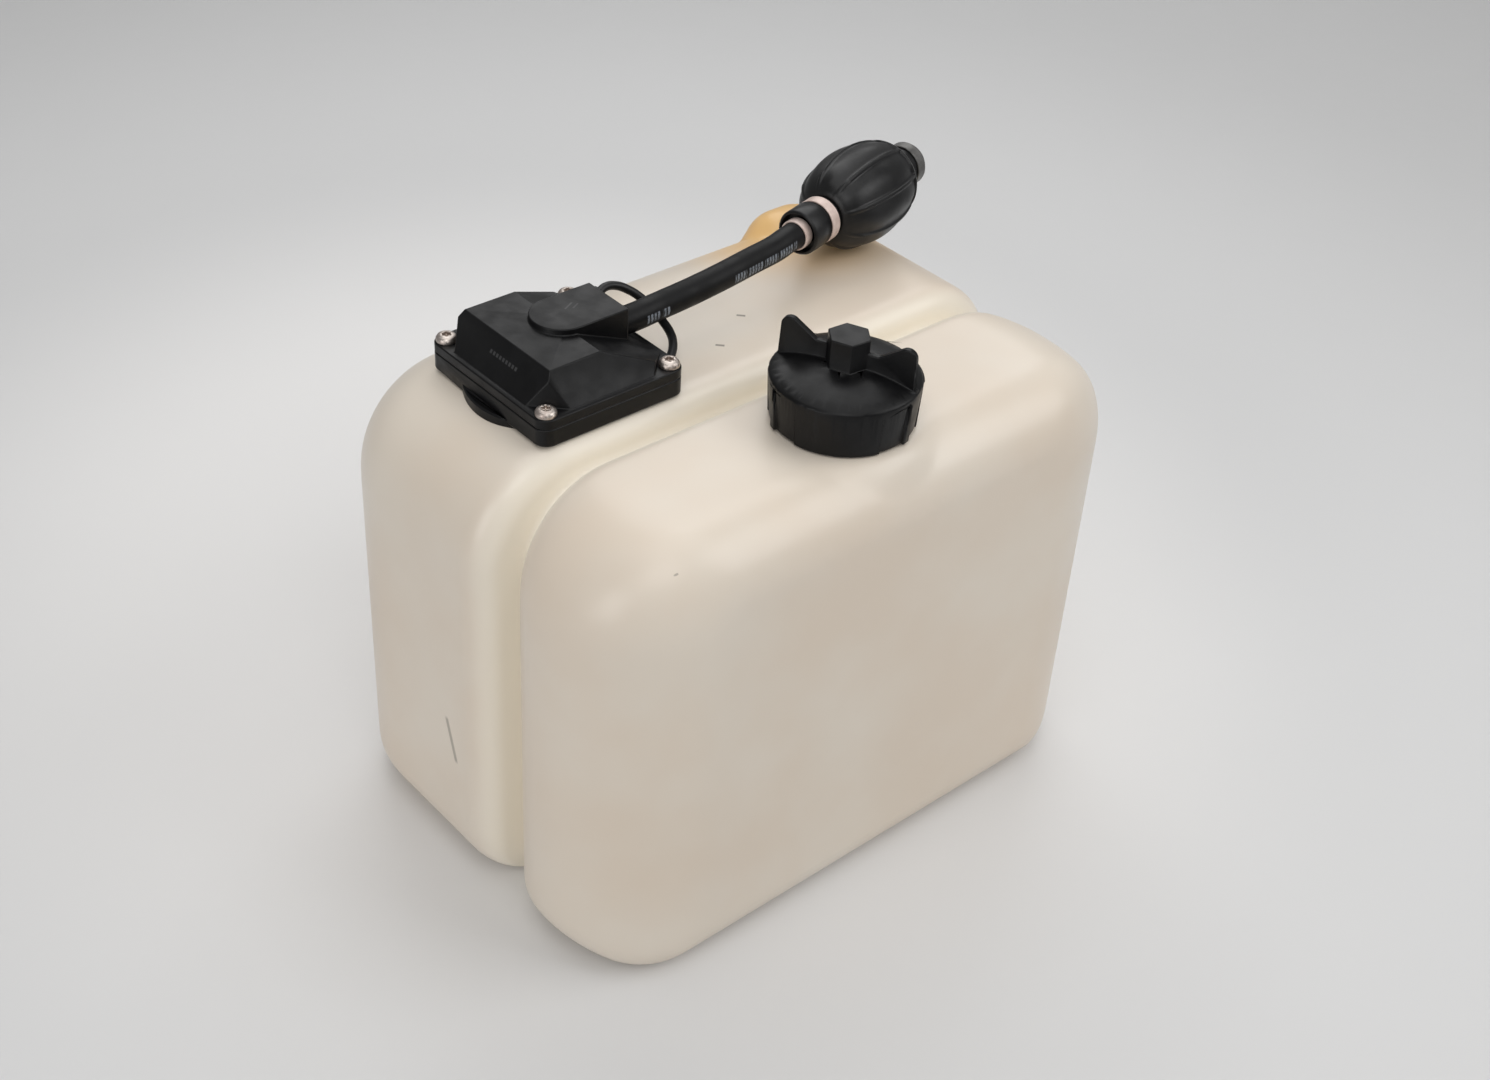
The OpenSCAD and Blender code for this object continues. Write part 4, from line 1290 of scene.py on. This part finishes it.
@dataclass
class PrimerBulb:
    """The squeeze bulb: a ribbed body between two necks, with a collar at its inlet."""

    centre: Point = (113 * MM, 47.5 * MM, 257 * MM)
    turn: float = 14.0
    collar_from: float = -53 * MM
    collar_to: float = -40 * MM
    collar_r: float = 11 * MM
    mouth_r: float = 9.4 * MM
    mouth_deep: float = 5 * MM
    hose_r: float = 6.4 * MM
    neck_r: float = 10 * MM
    body_r: float = 22.5 * MM
    body_mid: float = -1 * MM
    body_half: float = 30 * MM
    rim_from: float = 22 * MM
    rim_to: float = 25 * MM
    rim_out: float = 1.2 * MM
    outlet_end: float = 46 * MM
    outlet_bore: float = 6.9 * MM
    outlet_deep: float = 4 * MM
    ribs: int = 8
    rib_out: float = 1.05 * MM
    rib_half: float = 0.9 * MM
    rib_round: float = 0.45 * MM
    panel_out: float = 0.9 * MM
    soft: float = 0.7 * MM
    around: int = 240
    body_steps: int = 64
    neck_steps: int = 8

    def swell(self, along: float) -> float:
        """Return the body's radius at a place along the bulb."""
        share = 1 - ((along - self.body_mid) / self.body_half) ** 2
        return self.neck_r + (self.body_r - self.neck_r) * math.sqrt(max(0.0, share))

    def side(self) -> list[Point]:
        """List the turned section from the inlet's mouth to the outlet's.

        Returns:
            The section's points.
        """
        soft, mouth, back = self.soft, self.collar_from, self.collar_to
        line = [(mouth + self.mouth_deep, self.hose_r), (mouth + self.mouth_deep, self.mouth_r),
                (mouth + soft, self.mouth_r), (mouth, self.mouth_r + soft), (mouth, self.collar_r - 2 * soft),
                (mouth + 0.6 * soft, self.collar_r - 0.6 * soft), (mouth + 2 * soft, self.collar_r),
                (back - soft, self.collar_r), (back - 0.3 * soft, self.collar_r - 0.4 * soft), (back, self.neck_r)]
        begin, end = self.body_mid - self.body_half, self.body_mid + self.body_half
        share = [i / self.neck_steps for i in range(1, self.neck_steps)]
        line += [(back + (begin - back) * s, self.neck_r) for s in share]
        for i in range(self.body_steps + 1):
            along = self.body_mid - self.body_half * math.cos(math.pi * i / self.body_steps)
            rim = self.rim_out if self.rim_from <= along <= self.rim_to else 0.0
            line.append((along, self.swell(along) + rim))
        line += [(end + (self.outlet_end - end) * s, self.neck_r) for s in share]
        line += [(self.outlet_end - soft, self.neck_r), (self.outlet_end, self.neck_r - soft),
                 (self.outlet_end, self.outlet_bore + soft), (self.outlet_end - soft, self.outlet_bore),
                 (self.outlet_end - self.outlet_deep, self.outlet_bore)]
        return [(s, 0.0, r) for s, r in line]

    def rib(self, along: float, angle: float, radius: float) -> float:
        """Work out how far a rib or a bulging panel stands out of the body.

        Args:
            along: Place along the bulb.
            angle: Angle round it.
            radius: The body's radius there.

        Returns:
            The height there.
        """
        reach = (along - self.body_mid) / (self.body_half + self.rib_round)
        if abs(reach) >= 1:
            return 0.0
        if self.rim_from <= along <= self.rim_to:
            return self.panel_out * 0.5 * (1 - reach * reach)
        pitch = math.tau / self.ribs
        away = abs((angle / pitch) % 1 - 0.5) * pitch * radius
        share = min(1.0, max(0.0, (self.rib_half + self.rib_round - away) / (2 * self.rib_round)))
        rise = smooth_step(share) * self.rib_out
        panel = self.panel_out * smooth_step((away - self.rib_half) / (pitch * radius / 2 - self.rib_half))
        return rise * min(1.0, 4 * (1 - abs(reach))) + panel * (1 - reach * reach)

    def build(self, shop: Workshop) -> bpy.types.Object:
        """Turn the bulb, raise its ribs and set it on the hose's end.

        Args:
            shop: Where pieces are made.

        Returns:
            The bulb.
        """
        form = bmesh.new()
        spots = [form.verts.new(p) for p in self.side()]
        edges = [form.edges.new(pair) for pair in zip(spots, spots[1:])]
        bmesh.ops.spin(form, geom=spots + edges, cent=(0, 0, 0), axis=(1, 0, 0), angle=math.tau, steps=self.around,
                       use_merge=True)
        bmesh.ops.remove_doubles(form, verts=form.verts, dist=MERGE)
        for vert in form.verts:
            radius = math.hypot(vert.co.y, vert.co.z)
            more = self.rib(vert.co.x, math.atan2(vert.co.z, vert.co.y), radius)
            vert.co.y *= 1 + more / radius
            vert.co.z *= 1 + more / radius
        turn_outwards(form, (1.0, 0.0, 0.0))
        set_up = Matrix.Translation(self.centre) @ Matrix.Rotation(math.radians(self.turn), 4, "Z")
        bmesh.ops.transform(form, verts=form.verts, matrix=set_up)
        skin = shop.mesh("squeeze_bulb", form, 50.0)
        return shop.place("squeeze_bulb", skin, Slot.BULB, Body.TANK, ("primer_bulb",))


@dataclass
class BlackMouldings:
    """The filler cap, the pickup base and its cover, with rounded edges."""

    cap_edge: float = 0.5 * MM
    cap_merge: float = 0.25 * MM
    cover_edge: float = 0.5 * MM
    base_edge: float = 0.7 * MM

    def build(self, shop: Workshop) -> list[bpy.types.Object]:
        """Make the three mouldings."""
        return [shop.softened("winged_cap", "filler_cap", Slot.BLACK, Body.CAP, self.cap_edge, self.cap_merge),
                shop.softened("sender_base", "pickup_base", Slot.BLACK, Body.TANK, self.base_edge),
                shop.softened("sender_cover", "pickup_cover", Slot.BLACK, Body.TANK, self.cover_edge)]


@dataclass
class Hardware:
    """The cover's screws and the hose's and bulb's bands, with rounded edges."""

    screw_edge: float = 0.25 * MM
    band_edge: float = 0.3 * MM

    def build(self, shop: Workshop) -> list[bpy.types.Object]:
        """Make the screws and the bands.

        Args:
            shop: Where pieces are made.

        Returns:
            The screws and the bands.
        """
        made = [shop.softened("steel_screws", "cover_screws", Slot.STEEL, Body.TANK, self.screw_edge)]
        bands = {"hose_band": Slot.BAND, "inlet_band": Slot.BAND, "outlet_band": Slot.DARK_BAND}
        for node, slot in bands.items():
            made.append(shop.softened("clip_" + node, node, slot, Body.TANK, self.band_edge))
        return made


class InnerPieces:
    """Pieces under the cover, in the tank and in the bulb, which keep their solids."""

    KEPT: dict[Slot, tuple[str, ...]] = {
        Slot.GASKET: ("cap_gasket", "base_gasket", "elbow_seal", "lead_grommet"),
        Slot.BRASS: ("screw_inserts",),
        Slot.DARK: ("outlet_elbow", "strainer", "inlet_fitting", "inlet_cage", "outlet_fitting", "outlet_seat"),
        Slot.STEEL: ("elbow_band", "stem_clip"),
        Slot.PALE: ("pickup_tube", "float_stem", "inlet_ball", "outlet_ball"),
        Slot.FOAM: ("level_float",),
        Slot.GLASS: ("reed_switch",),
    }

    def dress(self, shop: Workshop) -> None:
        """Give each kept node its finish."""
        for slot, nodes in self.KEPT.items():
            shop.keep(slot, *nodes)


def main() -> None:
    """Build the scene: camera, cords, tank, bulb, mouldings, hardware, inner pieces, floor and light."""
    logging.basicConfig(level=logging.INFO, format="%(message)s")
    studio = Studio()
    studio.camera()
    shop = Workshop(Finishes())
    bulb = PrimerBulb().build(shop)
    hardware = Hardware().build(shop)
    on_hose = [bulb, *(p for p in hardware if "band" in p.name)]
    on_hose += [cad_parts[n] for n in ("inlet_fitting", "inlet_cage", "outlet_fitting", "outlet_seat",
                                            "inlet_ball", "outlet_ball")]
    oil_hose().build(shop, on_hose)
    level_lead().build(shop)
    TankShell().build(shop)
    FillerNeck().build(shop)
    BlackMouldings().build(shop)
    InnerPieces().dress(shop)
    studio.floor()
    studio.light()


if __name__ == "__main__":
    main()
